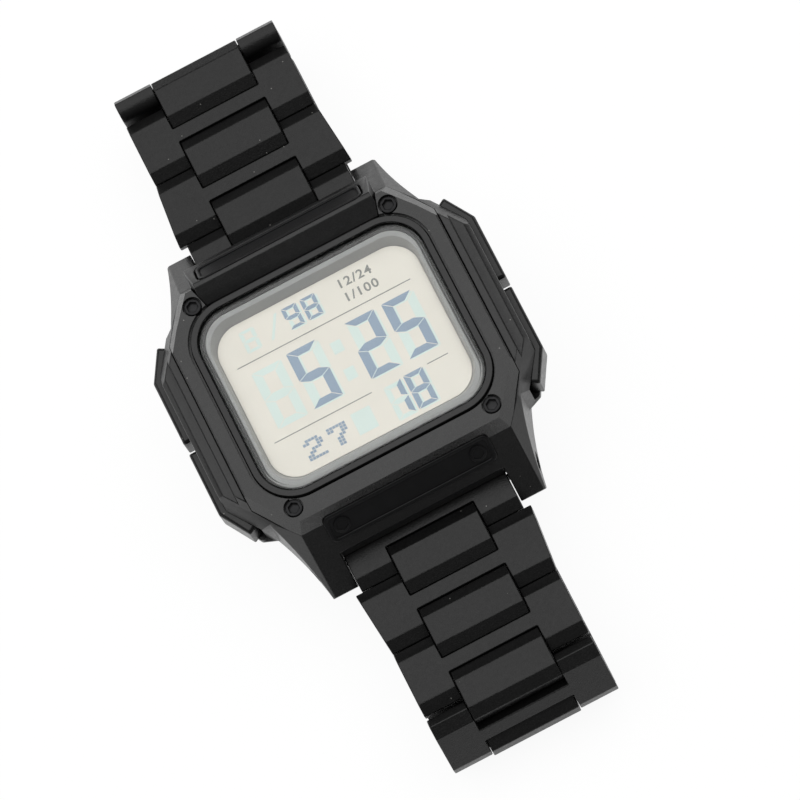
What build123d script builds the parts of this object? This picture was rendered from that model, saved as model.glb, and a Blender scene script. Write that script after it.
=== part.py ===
"""Digital watch with a moulded resin case, four side pushers and a link bracelet.

The bracelet is closed by a three-leaf folding clasp and lies as a flattened loop, dial up.
Millimetres. +X points to 3 o'clock, +Y to 12 o'clock, +Z up. The origin is on the outer face
of the clasp, which is the face that the watch stands on, below the middle of the dial.
"""

from build123d import *

import os
from math import asin, cos, degrees, radians, sin, tan

# Fits and clearances
PIN_PRESS = 0.02           # radial, pin in the piece that holds it
PIN_RUN = 0.05             # radial, pin in the piece that turns on it
LINK_SIDE_GAP = 0.12       # between a mid link and the legs beside it
LINK_END_GAP = 0.12        # between the end of a mid link and the crossbar
LEG_GAP = 0.10             # between the legs of two neighbouring wide links
LUG_SIDE_GAP = 0.15        # between an end link and a lug
STEM_RUN = 0.05            # radial, pusher stem in its bore
SHELL_GAP = 0.10           # between a fitted case part and its seat
MODULE_GAP = 0.05          # between the layers of the movement
OPEN_EYE_GAP = 0.35        # radial, clasp pin in the eye of the inner leaf

# How many flats stand for a circle, or for each rounded corner: few on what is small or
# hidden, more on what shows
PIN_SIDES = 8
HEAD_SIDES = 16
CELL_SIDES = 28
CORNER_STEPS = 5
FEW_STEPS = 3
TIP_STEPS = 2

# How far a cutter runs past what it cuts: a little, or over all that lies on one side
PAST = 1.0
FAR_PAST = 10.0

# Bracelet links, seen from the side: heights are from the pin centre
MID_PIN_PITCH = 4.5
WIDE_PIN_PITCH = 5.1
PIN_RADIUS = 0.5
MID_END_REACH = 1.4
MID_TOP = 2.6
MID_CHAMFER_LENGTH = 1.6
MID_CHAMFER_DROP = 1.0
MID_WIDTH = 12.8
WIDE_TOP = 1.9
WIDE_BOTTOM = 1.5
WIDE_CHAMFER_LENGTH = 1.6
WIDE_CHAMFER_DROP = 1.0
LEG_TIP_RADIUS = 1.7
BAND_WIDTH_AT_LUGS = 25.9
BAND_WIDTH = 24.1
CLASP_END_WIDTH = 20.6
PIN_END_SINK = 0.3
PAIRS_PER_SIDE = 6

# Run of the bracelet: the joints that are bent while the watch lies flat, in degrees, each
# counted from the pin of the first mid link. The next joint takes what is left of the half turn.
BENDS_6 = {5: 60.0, 6: 60.0}
FIRST_BEND_12 = 90.0
HALF_TURN = 180.0

# Case, with depths below the bezel face
BEZEL_TO_BAND_PIN = 10.1
CASE_DEPTH = 12.6
BEZEL_THICKNESS = 2.2
FACE_SIDE_X = 19.7
FACE_SIDE_CORNER_Y = 11.0
FACE_END_X = 15.1
FACE_END_Y = 17.8
FACE_EDGE_BEVEL = 0.2
DIAGONAL_MARGIN = 1.0
DIAGONAL_SLOPE = 61.5
END_FACET_RUN = 1.1
END_SLOPE = 46.5
END_SLOPE_X = 15.4
TERRACE_X = 20.85
TERRACE_CORNER_Y = 10.8
TERRACE_DEPTH = 0.9
STEP_X = 22.2
STEP_DEPTH = 1.9
CASE_SIDE_X = 22.9
CASE_SIDE_CORNER_Y = 10.6
GUARD_TIP = (20.7, 14.6)
GUARD_END = (18.5, 15.5)
SIDE_FOOT_DEPTH = 10.2
SIDE_FOOT_TAPER = 40.0
CORE_SIDE_X = 20.4
FLANK_START = (19.0, 14.3)
FLANK_MIDDLE = (17.1, 19.6)
FLANK_END_X = 15.7
LUG_BAR_Y = 22.3
END_LINK_PITCH = 2.8
LUG_INNER_X = 12.1
LUG_END_Y = 26.2
LUG_END_UNDERCUT = 1.2
END_LIP_Y = 22.3
BARREL_ROOM = 0.3

# Hood at 12 o'clock, as half widths and places along Y
HOOD_FOOT_HALF = 12.75
HOOD_REAR_HALF = 13.65
HOOD_RISE = 1.1
HOOD_SINK = 0.3
HOOD_RIM_Y = 17.5
HOOD_RIM_WIDTH = 0.55
HOOD_LIP_Y = 21.9
HOOD_SIDE_DRAFT = 0.5

# Plates on the sloping ends, keyed by the side that they are on
PLATE_WIDTH = 24.3
PLATE_LENGTH = 4.2
PLATE_THICKNESS = 0.9
PLATE_CORNER = 0.9
PLATE_PROUD = {1: 0.05, -1: 0.5}
PLATE_SEAT_GAP = {1: 0.2, -1: 0.05}
PLATE_OVERHANG = 1.0
PLATE_BORDER = 0.55
PLATE_FIELD_DEPTH = 0.18
RIVET_INSET = 2.15
RIVET_RADIUS = 1.15
RIVET_HEAD = 0.25
RIVET_DIMPLE_RADIUS = 0.8
RIVET_DIMPLE_DEPTH = 0.15

# Window, from the outside in
RING_SIZE = (34.9, 29.7)
RING_CORNER = 6.0
RING_WIDTH = 0.95
RING_GROOVE = 0.35
RING_GROOVE_DEPTH = 0.7
CRYSTAL_RIM_GAP = 0.2
CRYSTAL_SINK = 0.15
CRYSTAL_THICKNESS = 1.2
CRYSTAL_BEVEL = 0.45
GASKET_WIDTH = 0.75
FRAME_WALL = (0.5, 0.75)
FRAME_HEIGHT = 3.05
FRAME_TAPER = (0.6, 1.2)
FRAME_CORNER = 4.0

# Movement. Its layers, the cavity and the back are sized from the display glass.
LCD_SIZE = (30.0, 23.4)
LCD_THICKNESS = 1.45
LIGHT_GUIDE_INSET = (0.4, 2.4)
LIGHT_GUIDE_THICKNESS = 0.9
CONNECTOR_INSET = 2.0
CONNECTOR_WIDTH = 1.4
BOARD_MARGIN = (0.1, 0.3)
BOARD_THICKNESS = 0.8
BOARD_DEPTH = 7.95
BOARD_CORNER = 2.0
CHIP_RADIUS = 3.2
CHIP_HEIGHT = 0.75
CHIP_TAPER = 25.0
HOLDER_ROOM = 0.3
HOLDER_WALL = 1.2
HOLDER_HOLE_CORNER = 1.3
BATTERY_RADIUS = 10.0
BATTERY_THICKNESS = 1.6
BATTERY_STEP_RADIUS = 8.8
BATTERY_STEP = 0.3
BATTERY_CLIP_SIZE = (24.0, 7.0)
BATTERY_CLIP_THICKNESS = 0.25
BUZZER_RADIUS = 8.0
BUZZER_THICKNESS = 0.25

# Case back
BACK_MARGIN = (2.1, 2.4)
BACK_CORNER = 3.5
BACK_THICKNESS = 1.2
BACK_PANEL_INSET = (4.5, 4.5)
BACK_PANEL_STEP = 0.25
CAVITY_ROOM = 0.3
CAVITY_CORNER = 5.0
BACK_GASKET_WIDTH = 0.8
BACK_GASKET_HEIGHT = 0.7
BACK_GASKET_OFFSET = 0.25
BACK_SCREW_OFFSET = (0.0, 0.3)
BACK_SCREW_HEAD = 1.15
BACK_SCREW_SHANK = 0.6
BACK_SCREW_LENGTH = 3.4
BACK_SCREW_SLOT = (0.4, 0.3)

# Bezel screws
BEZEL_SCREW = (14.57, 15.7)
SCREW_POCKET_RADIUS = 1.35
SCREW_HEAD_RADIUS = 1.15
SCREW_HEAD_HEIGHT = 0.9
SCREW_SHANK_RADIUS = 0.6
SCREW_LENGTH = 4.4
SCREW_SOCKET_FLATS = 1.3
SCREW_SOCKET_DEPTH = 0.5
SCREW_SINK = 0.15

# Pushers
PUSHER_OUTER_X = 24.0
PUSHER_BAR = 1.6
PUSHER_CORNER_Y = 10.3
PUSHER_TIP = (21.45, 14.65)
PUSHER_GAP = 1.5
PUSHER_TOP_DEPTH = 4.4
PUSHER_HEIGHT = 4.4
PUSHER_EDGE_BEVEL = 0.35
PUSHER_TRAVEL = 0.8
PUSHER_ROOM = 0.2
STEM_Y = 6.6
STEM_RADIUS = 0.9
STEM_END_X = 16.4
STEM_CLIP_RADIUS = 1.5
STEM_CLIP_THICKNESS = 0.3
STEM_CLIP_INSET = 0.15
STEM_GROOVE_DEPTH = 0.25
SEAL_X = 18.6
SEAL_WIDTH = 0.8
SEAL_RADIUS = 1.5
CONTACT_X = 15.2
CONTACT_THICKNESS = 0.2
CONTACT_WIDTH = 2.4
CONTACT_FOOT = 2.0

# Lug spring bars
LUG_BAR_RADIUS = 0.75
LUG_BAR_TIP_RADIUS = 0.45
LUG_BAR_TIP_LENGTH = 1.6
LUG_HOLE_SINK_RADIUS = 1.3
LUG_HOLE_SINK_DEPTH = 0.7

# Folding clasp
CLASP_WIDTH = 20.0
COVER_THICKNESS = 1.2
COVER_WALL = 1.0
COVER_WALL_HEIGHT = 4.2
COVER_CORNER = 2.0
COVER_EDGE_BEVEL = 0.4
COVER_BODY_SETBACK = 2.5
COVER_END_GAP = 0.2
COVER_TAB_REACH = 3.6
COVER_TAB_TILT = 58.0
CLASP_FLOOR_GAP = 0.2
LEAF_THICKNESS = 0.75
LEAF_EYE_RADIUS = 1.3
LEAF_GAP = 0.15
INNER_LEAF_WIDTH = 9.0
MIDDLE_LEAF_WIDTH = 13.6
EAR_WIDTH = 1.7
CLASP_PIN_RADIUS = 0.4
FOLD_PIN_INSET = 6.0
HINGE_PIN_INSET = 2.2
BUTTON_LENGTH = 5.0
BUTTON_HEIGHT = 1.8
BUTTON_PROUD = 0.9
BUTTON_FLANGE = 0.5
BUTTON_NOSE_X = 7.8
BUTTON_BEVEL = 0.3
BUTTON_GAP = 0.08


def plan_prism(points, z0, z1):
    """Upright prism on a polygon in plan."""
    return Pos(0, 0, z0) * extrude(make_face(Polyline(*points, close=True)), amount=z1 - z0)


def side_prism(points, x0, x1):
    """Prism along X on a polygon given as (y, z)."""
    flat = make_face(Polyline(*[(x0, y, z) for y, z in points], close=True))
    return extrude(flat, amount=x1 - x0, dir=(1, 0, 0))


def block(x, y, z):
    """Box from its span along each axis, each given as a pair in either order."""
    spans = [sorted(pair) for pair in (x, y, z)]
    middle = [(low + high) / 2 for low, high in spans]
    return Pos(*middle) * Box(*[high - low for low, high in spans])


def slab(size, corner, z0, z1, centre=(0.0, 0.0), steps=CORNER_STEPS):
    """Upright prism on a rectangle whose corners are rounded in short steps."""
    points = []
    for turn in range(4):
        right = 1 if turn in (0, 3) else -1
        up = 1 if turn < 2 else -1
        x = centre[0] + right * (size[0] / 2 - corner)
        y = centre[1] + up * (size[1] / 2 - corner)
        for step in range(steps + 1):
            angle = radians(90 * (turn + step / steps))
            points.append((x + corner * cos(angle), y + corner * sin(angle)))
    return plan_prism(points, z0, z1)


def rod_x(radius, x0, x1, y, z):
    """Round bar along X."""
    return Location(((x0 + x1) / 2, y, z), (0, 90, 0)) * Cylinder(radius, abs(x1 - x0))


def peg_x(radius, x0, x1, y, z, sides=PIN_SIDES):
    """Pin along X with a few flats inside its radius."""
    low = min(x0, x1)
    flat = Plane((low, y, z), x_dir=(0, 1, 0), z_dir=(1, 0, 0)) * RegularPolygon(radius, sides)
    return extrude(flat, amount=abs(x1 - x0), dir=(1, 0, 0))


def bore_x(radius, x0, x1, y, z, sides=PIN_SIDES):
    """Hole along X with a few flats outside its radius."""
    return peg_x(radius / cos(radians(180 / sides)), x0, x1, y, z, sides)


def peg_z(radius, x, y, z0, z1, sides=PIN_SIDES):
    """Pin along Z with a few flats inside its radius."""
    return Pos(x, y, z0) * extrude(RegularPolygon(radius, sides), amount=z1 - z0)


def bore_z(radius, x, y, z0, z1, sides=PIN_SIDES):
    """Hole along Z with a few flats outside its radius."""
    return peg_z(radius / cos(radians(180 / sides)), x, y, z0, z1, sides)


def above(point, normal, reach=60.0):
    """Block that fills one side of a plane, the side that its normal points to."""
    return Plane(point, z_dir=normal) * Pos(0, 0, reach / 2) * Box(reach, reach, reach)


def all_quarters(points):
    """Closed plan outline from its points in the first quadrant, from the X side on."""
    upper = points + [(-x, y) for x, y in reversed(points)]
    return upper + [(-x, -y) for x, y in points] + [(x, -y) for x, y in reversed(points)]


def corners(x, y):
    """The four places that mirror one another in both axes."""
    return [(side_x * x, side_y * y) for side_x in (1, -1) for side_y in (1, -1)]


def solids_of(*shapes):
    """One shape from the solids of several, a compound where there is more than one."""
    solids = [solid for shape in shapes for solid in shape.solids()]
    return solids[0] if len(solids) == 1 else Compound(solids)


def around(size, margin):
    """Size of what surrounds a rectangle by a margin along X and one along Y."""
    return size[0] + 2 * margin[0], size[1] + 2 * margin[1]


def within(size, inset):
    """Size of what lies inside a rectangle by an inset along X and one along Y."""
    return size[0] - 2 * inset[0], size[1] - 2 * inset[1]


LIGHT_GUIDE_SIZE = within(LCD_SIZE, LIGHT_GUIDE_INSET)
CONNECTOR_SIZE = (LCD_SIZE[0] - 2 * CONNECTOR_INSET, CONNECTOR_WIDTH)
BOARD_SIZE = around(LCD_SIZE, BOARD_MARGIN)
HOLDER_HOLE_SIZE = around(BOARD_SIZE, (HOLDER_ROOM, HOLDER_ROOM))
HOLDER_SIZE = around(HOLDER_HOLE_SIZE, (HOLDER_WALL, HOLDER_WALL))
CAVITY_SIZE = around(HOLDER_SIZE, (CAVITY_ROOM, CAVITY_ROOM))
BACK_SIZE = around(CAVITY_SIZE, BACK_MARGIN)
BACK_PANEL_SIZE = within(BACK_SIZE, BACK_PANEL_INSET)
BACK_SCREW = [side / 2 + more for side, more in zip(CAVITY_SIZE, BACK_SCREW_OFFSET)]


# Bracelet. Each link is drawn with its first pin at the origin and +Y away from the case.

def tip_points(y, z, radius, start, stop):
    """Rounded lower corner of a link as a few points on its circle, angles in degrees."""
    turns = [radians(start + (stop - start) * step / TIP_STEPS) for step in range(TIP_STEPS + 1)]
    return [(y + radius * cos(turn), z + radius * sin(turn)) for turn in turns]


def link_profile(pitch, reach, top, bottom, chamfer_size, tip_radius):
    """Side view of a link: flat top with two chamfers, and rounded lower corners."""
    length, drop = chamfer_size
    end = pitch + reach
    tip_z = tip_radius - bottom
    crown = [(-reach, top - drop), (length - reach, top), (end - length, top), (end, top - drop)]
    far_tip = tip_points(end - tip_radius, tip_z, tip_radius, 0, -90)
    near_tip = tip_points(tip_radius - reach, tip_z, tip_radius, -90, -180)
    return crown + far_tip + near_tip


def mid_link():
    """Raised middle link with a bore for each of its two pins."""
    chamfer_size = (MID_CHAMFER_LENGTH, MID_CHAMFER_DROP)
    profile = link_profile(
        MID_PIN_PITCH, MID_END_REACH, MID_TOP, MID_END_REACH, chamfer_size, MID_END_REACH
    )
    half = MID_WIDTH / 2
    body = side_prism(profile, -half, half)
    for y in (0, MID_PIN_PITCH):
        body -= bore_x(PIN_RADIUS + PIN_RUN, -half, half, y, 0)
    return solids_of(body)


def leg_reach():
    """How far a leg reaches past its pin, to half the gap between two wide links."""
    return MID_PIN_PITCH / 2 - LEG_GAP / 2


def crossbar_setback():
    """Distance from a pin to the face of the crossbar beside it."""
    return MID_END_REACH + LINK_END_GAP


def mid_pocket(y0, y1):
    """Room for the end of a mid link between two legs."""
    half = MID_WIDTH / 2 + LINK_SIDE_GAP
    return block((-half, half), (y0, y1), (-WIDE_BOTTOM - PAST, WIDE_TOP + PAST))


def wide_link(width_near, width_far):
    """Wide link with its crossbar, four legs and two pins, which are solids of their own."""
    reach = leg_reach()
    end = WIDE_PIN_PITCH + reach
    chamfer_size = (WIDE_CHAMFER_LENGTH, WIDE_CHAMFER_DROP)
    profile = link_profile(
        WIDE_PIN_PITCH, reach, WIDE_TOP, WIDE_BOTTOM, chamfer_size, LEG_TIP_RADIUS
    )
    half = max(width_near, width_far) / 2
    body = side_prism(profile, -half, half)
    if width_near != width_far:
        near, far = width_near / 2, width_far / 2
        plan = [(-near, -reach), (near, -reach), (far, end), (-far, end)]
        body &= plan_prism(plan, -WIDE_BOTTOM - PAST, WIDE_TOP + PAST)
    body -= mid_pocket(-reach - PAST, crossbar_setback())
    body -= mid_pocket(WIDE_PIN_PITCH - crossbar_setback(), end + PAST)
    pins = []
    for y in (0, WIDE_PIN_PITCH):
        share = (y + reach) / (end + reach)
        pin_half = (width_near + (width_far - width_near) * share) / 2 - PIN_END_SINK
        body -= bore_x(PIN_RADIUS + PIN_PRESS, -half - PAST, half + PAST, y, 0)
        pins.append(peg_x(PIN_RADIUS, -pin_half, pin_half, y, 0))
    return solids_of(body, *pins)


def end_link():
    """Link between the lugs: a barrel on the spring bar and two legs around a mid link."""
    reach = leg_reach()
    end = END_LINK_PITCH + reach
    half = LUG_INNER_X - LUG_SIDE_GAP
    tip = tip_points(end - LEG_TIP_RADIUS, LEG_TIP_RADIUS - WIDE_BOTTOM, LEG_TIP_RADIUS, 0, -90)
    profile = [
        (0, WIDE_TOP),
        (end - WIDE_CHAMFER_LENGTH, WIDE_TOP),
        (end, WIDE_TOP - WIDE_CHAMFER_DROP),
        *tip,
        (0, -WIDE_BOTTOM),
    ]
    body = side_prism(profile, -half, half)
    barrel = rod_x(WIDE_TOP, -half, half, 0, 0)
    barrel &= block((-half, half), (-WIDE_TOP, WIDE_TOP), (-WIDE_BOTTOM, WIDE_TOP))
    body += barrel
    body -= mid_pocket(END_LINK_PITCH - crossbar_setback(), end + PAST)
    body -= bore_x(LUG_BAR_RADIUS + PIN_RUN, -half - PAST, half + PAST, 0, 0)
    body -= bore_x(PIN_RADIUS + PIN_PRESS, -half - PAST, half + PAST, END_LINK_PITCH, 0)
    pin_half = half - PIN_END_SINK
    return solids_of(body, peg_x(PIN_RADIUS, -pin_half, pin_half, END_LINK_PITCH, 0))


def bent_joints(bends):
    """Every bent joint of a half with its angle, the last one closing the half turn."""
    last = max(bends) + 1
    return {**bends, last: HALF_TURN - sum(bends.values())}


def link_pitches():
    """Distance between the two pins of each link of a half, lug to clasp."""
    return [END_LINK_PITCH] + [MID_PIN_PITCH, WIDE_PIN_PITCH] * PAIRS_PER_SIDE


def band_run(bends):
    """Pins as (y, height over the first pin) and link angles of a half, lug to clasp."""
    bent = bent_joints(bends)
    y, z, angle = LUG_BAR_Y, 0.0, 0.0
    pins, angles = [(y, z)], []
    for index, pitch in enumerate(link_pitches()):
        angle += bent.get(index - 1, 0.0)
        angles.append(angle)
        y += pitch * cos(radians(angle))
        z -= pitch * sin(radians(angle))
        pins.append((y, z))
    return pins, angles


def end_drop(bends):
    """How far the last pin of a half lies below its first one."""
    return -band_run(bends)[0][-1][1]


def level_bends():
    """Bends on the side of 12, the second one set so that the clasp lies level."""
    start = min(BENDS_6)
    steep, slanted = link_pitches()[start + 1 : start + 3]
    left = end_drop(BENDS_6) - steep * sin(radians(FIRST_BEND_12))
    second = HALF_TURN - FIRST_BEND_12 - degrees(asin(left / slanted))
    return {start: FIRST_BEND_12, start + 1: second}


BENDS_12 = level_bends()

# Heights above the surface that the clasp stands on
BOTTOM_PIN_Z = MID_TOP + CLASP_FLOOR_GAP
TOP_PIN_Z = BOTTOM_PIN_Z + end_drop(BENDS_6)
FACE_Z = TOP_PIN_Z + BEZEL_TO_BAND_PIN
CASE_TOP_Z = FACE_Z - BEZEL_THICKNESS
BACK_Z = FACE_Z - CASE_DEPTH
CAVITY_FLOOR_Z = BACK_Z + BACK_THICKNESS


def band_joints(bends):
    """Pin places (y, z) and link angles of one bracelet half, from the lug to the clasp."""
    pins, angles = band_run(bends)
    return [(y, TOP_PIN_Z + z) for y, z in pins], angles


def placed(link, pin, angle, side):
    """A link moved to its first pin and bent down, on the side of 12 (1) or of 6 (-1)."""
    there = Location((0, pin[0], pin[1]), (-angle, 0, 0)) * link
    return there if side > 0 else mirror(there, about=Plane.XZ)


def bracelet_half(name, bends, side):
    """All the links of one half, by node name."""
    pins, angles = band_joints(bends)
    parts = {f"end_link_{name}": placed(end_link(), pins[0], angles[0], side)}
    for pair in range(1, PAIRS_PER_SIDE + 1):
        at = 2 * pair - 1
        parts[f"mid_link_{name}_{pair}"] = placed(mid_link(), pins[at], angles[at], side)
        near = BAND_WIDTH_AT_LUGS if pair == 1 else BAND_WIDTH
        far = CLASP_END_WIDTH if pair == PAIRS_PER_SIDE else BAND_WIDTH
        link = wide_link(near, far)
        parts[f"wide_link_{name}_{pair}"] = placed(link, pins[at + 1], angles[at + 1], side)
    return parts


# Case

def core_outline():
    """Plan of the case core with its four lugs, as one face."""
    tip = (FLANK_END_X, LUG_END_Y)
    corner = make_face(
        Polyline((0, 0), (CORE_SIDE_X, 0), (CORE_SIDE_X, FACE_SIDE_CORNER_Y), FLANK_START)
        + ThreePointArc(FLANK_START, FLANK_MIDDLE, tip)
        + Polyline(tip, (0, LUG_END_Y), (0, 0))
    )
    half = corner + mirror(corner, about=Plane.YZ)
    return half + mirror(half, about=Plane.XZ)


def side_block():
    """Wide middle of the case between the guards, narrower below the pushers."""
    foot_z = FACE_Z - SIDE_FOOT_DEPTH
    step_z = FACE_Z - STEP_DEPTH
    outline = [(CASE_SIDE_X, CASE_SIDE_CORNER_Y), GUARD_TIP, GUARD_END]
    body = plan_prism(all_quarters(outline), foot_z, step_z)
    inset = (foot_z - BACK_Z) * tan(radians(SIDE_FOOT_TAPER))
    foot = [(x - inset, y - inset / 2) for x, y in outline]
    upper = Pos(0, 0, foot_z) * make_face(Polyline(*all_quarters(outline), close=True))
    lower = Pos(0, 0, BACK_Z) * make_face(Polyline(*all_quarters(foot), close=True))
    body += loft([lower, upper], ruled=True)
    for side in (1, -1):
        body -= above((side * STEP_X, 0, step_z), (side, 0, 1))
    return body


def face_octagon(diagonal_margin=0.0, grow=0.0):
    """Plan of the bezel in points, with its diagonals moved out, or grown all round."""
    run_x = FACE_SIDE_X - FACE_END_X
    run_y = FACE_END_Y - FACE_SIDE_CORNER_Y
    length = (run_x**2 + run_y**2) ** 0.5
    side_x = FACE_SIDE_X + grow
    end_y = FACE_END_Y + grow + (END_FACET_RUN if diagonal_margin else 0.0)
    out = (diagonal_margin + grow) * length
    side_y = FACE_SIDE_CORNER_Y + (out - grow * run_y) / run_x
    end_x = side_x - (end_y - side_y) * run_x / run_y
    return [(side_x, side_y), (end_x, end_y)]


def end_foot():
    """Where the narrow facet at the end of the face meets the long slope, as (y, z)."""
    return FACE_END_Y + END_FACET_RUN, CASE_TOP_Z


def slope_z(y):
    """Height of the long end slope at a distance from the middle."""
    foot_y, foot_z = end_foot()
    return foot_z - (y - foot_y) * tan(radians(END_SLOPE))


def end_cutter(side):
    """What lies above the facet and the long slope on one side of the case."""
    foot_y, foot_z = end_foot()
    beyond = LUG_END_Y + PAST
    points = [
        (side * FACE_END_Y, FACE_Z),
        (side * foot_y, foot_z),
        (side * beyond, slope_z(beyond)),
        (side * beyond, FACE_Z + FAR_PAST),
        (side * FACE_END_Y, FACE_Z + FAR_PAST),
    ]
    return side_prism(points, -CASE_SIDE_X - PAST, CASE_SIDE_X + PAST)


def bezel_diagonal(side_x, side_y):
    """What lies outside the bezel's sloping diagonal edge at one corner."""
    run_x = FACE_SIDE_X - FACE_END_X
    run_y = FACE_END_Y - FACE_SIDE_CORNER_Y
    rise = (run_x**2 + run_y**2) ** 0.5 / tan(radians(DIAGONAL_SLOPE))
    normal = (side_x * run_y, side_y * run_x, rise)
    return above((side_x * FACE_SIDE_X, side_y * FACE_SIDE_CORNER_Y, FACE_Z), normal)


def lug_diagonal(side_x, side_y):
    """What lies outside the long facet that runs from the terraces to the end of a lug."""
    corner = Vector(TERRACE_X, TERRACE_CORNER_Y, FACE_Z - TERRACE_DEPTH)
    foot = Vector(END_SLOPE_X, *end_foot())
    tip = Vector(END_SLOPE_X, LUG_END_Y, slope_z(LUG_END_Y))
    normal = (foot - corner).cross(tip - corner)
    if normal.Z < 0:
        normal = normal * -1
    return above(
        (side_x * corner.X, side_y * corner.Y, corner.Z),
        (side_x * normal.X, side_y * normal.Y, normal.Z),
    )


def hood_plan(grow=0.0):
    """Plan of the hood, a little wider towards its rear."""
    foot_y = RING_SIZE[1] / 2
    rim_end = HOOD_RIM_Y + HOOD_RIM_WIDTH
    foot, rear = HOOD_FOOT_HALF + grow, HOOD_REAR_HALF + grow
    return [
        (-foot, foot_y),
        (foot, foot_y),
        (rear, rim_end),
        (rear, HOOD_LIP_Y),
        (-rear, HOOD_LIP_Y),
        (-rear, rim_end),
    ]


def hood():
    """Raised block at 12 o'clock that carries the upper plate."""
    foot_y = RING_SIZE[1] / 2 + SHELL_GAP
    rim_z = FACE_Z + HOOD_RISE
    rim_end = HOOD_RIM_Y + HOOD_RIM_WIDTH
    lip_z = rim_z - (HOOD_LIP_Y - rim_end) * tan(radians(END_SLOPE))
    points = [
        (foot_y, CASE_TOP_Z),
        (foot_y, FACE_Z - HOOD_SINK),
        (HOOD_RIM_Y, rim_z),
        (rim_end, rim_z),
        (HOOD_LIP_Y, lip_z),
        (HOOD_LIP_Y, slope_z(HOOD_LIP_Y)),
        (end_foot()[0], CASE_TOP_Z),
    ]
    body = side_prism(points, -HOOD_REAR_HALF, HOOD_REAR_HALF)
    body &= plan_prism(hood_plan(), CASE_TOP_Z - FAR_PAST, rim_z)
    drop = rim_z - CASE_TOP_Z
    top_half = HOOD_REAR_HALF - HOOD_SIDE_DRAFT
    for side in (1, -1):
        body -= above((side * top_half, 0, rim_z), (side * drop, 0, HOOD_SIDE_DRAFT))
    return body


def plate_location(side):
    """Middle of a plate's outer face, tilted to lie on its slope."""
    if side > 0:
        start = (HOOD_RIM_Y + HOOD_RIM_WIDTH, FACE_Z + HOOD_RISE)
        along = PLATE_LENGTH / 2 + PLATE_SEAT_GAP[side]
    else:
        start = end_foot()
        along = PLATE_LENGTH / 2 - PLATE_OVERHANG
    tilt = radians(END_SLOPE)
    y = start[0] + along * cos(tilt) + PLATE_PROUD[side] * sin(tilt)
    z = start[1] - along * sin(tilt) + PLATE_PROUD[side] * cos(tilt)
    return Location((0, side * y, z), (-side * END_SLOPE, 0, 0))


def rivet_places():
    """Where the two rivets stand along a plate."""
    return [side * (PLATE_WIDTH / 2 - RIVET_INSET) for side in (-1, 1)]


def plate(side):
    """Plate with a sunk field, set into the slope."""
    outline = (PLATE_WIDTH, PLATE_LENGTH)
    body = slab(outline, PLATE_CORNER, -PLATE_THICKNESS, 0, steps=FEW_STEPS)
    field = (PLATE_WIDTH - 2 * PLATE_BORDER, PLATE_LENGTH - 2 * PLATE_BORDER)
    field_corner = PLATE_CORNER - PLATE_BORDER / 2
    body -= slab(field, field_corner, -PLATE_FIELD_DEPTH, PAST, steps=FEW_STEPS)
    if side < 0:
        for x in rivet_places():
            hole = (RIVET_RADIUS + PIN_RUN, x, 0, -PLATE_THICKNESS - PAST, PAST)
            body -= bore_z(*hole, sides=HEAD_SIDES)
    return solids_of(plate_location(side) * body)


def plate_seat(side):
    """Pocket in the slope that the plate sits in."""
    gap = PLATE_SEAT_GAP[side]
    seat = (PLATE_WIDTH + 2 * gap, PLATE_LENGTH + 2 * gap)
    depth = (-PLATE_THICKNESS, 3 * PAST)
    return plate_location(side) * slab(seat, PLATE_CORNER + gap, *depth, steps=FEW_STEPS)


def plate_rivets():
    """Two dimpled rivets through the plate at 6 o'clock."""
    top = RIVET_HEAD - PLATE_FIELD_DEPTH
    floor = top - RIVET_DIMPLE_DEPTH
    rivets = []
    for x in rivet_places():
        rivet = peg_z(RIVET_RADIUS, x, 0, -PLATE_THICKNESS, top, sides=HEAD_SIDES)
        rivet -= peg_z(RIVET_DIMPLE_RADIUS, x, 0, floor, top + PAST, sides=HEAD_SIDES)
        rivets.append(plate_location(-1) * rivet)
    return solids_of(*rivets)


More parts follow.
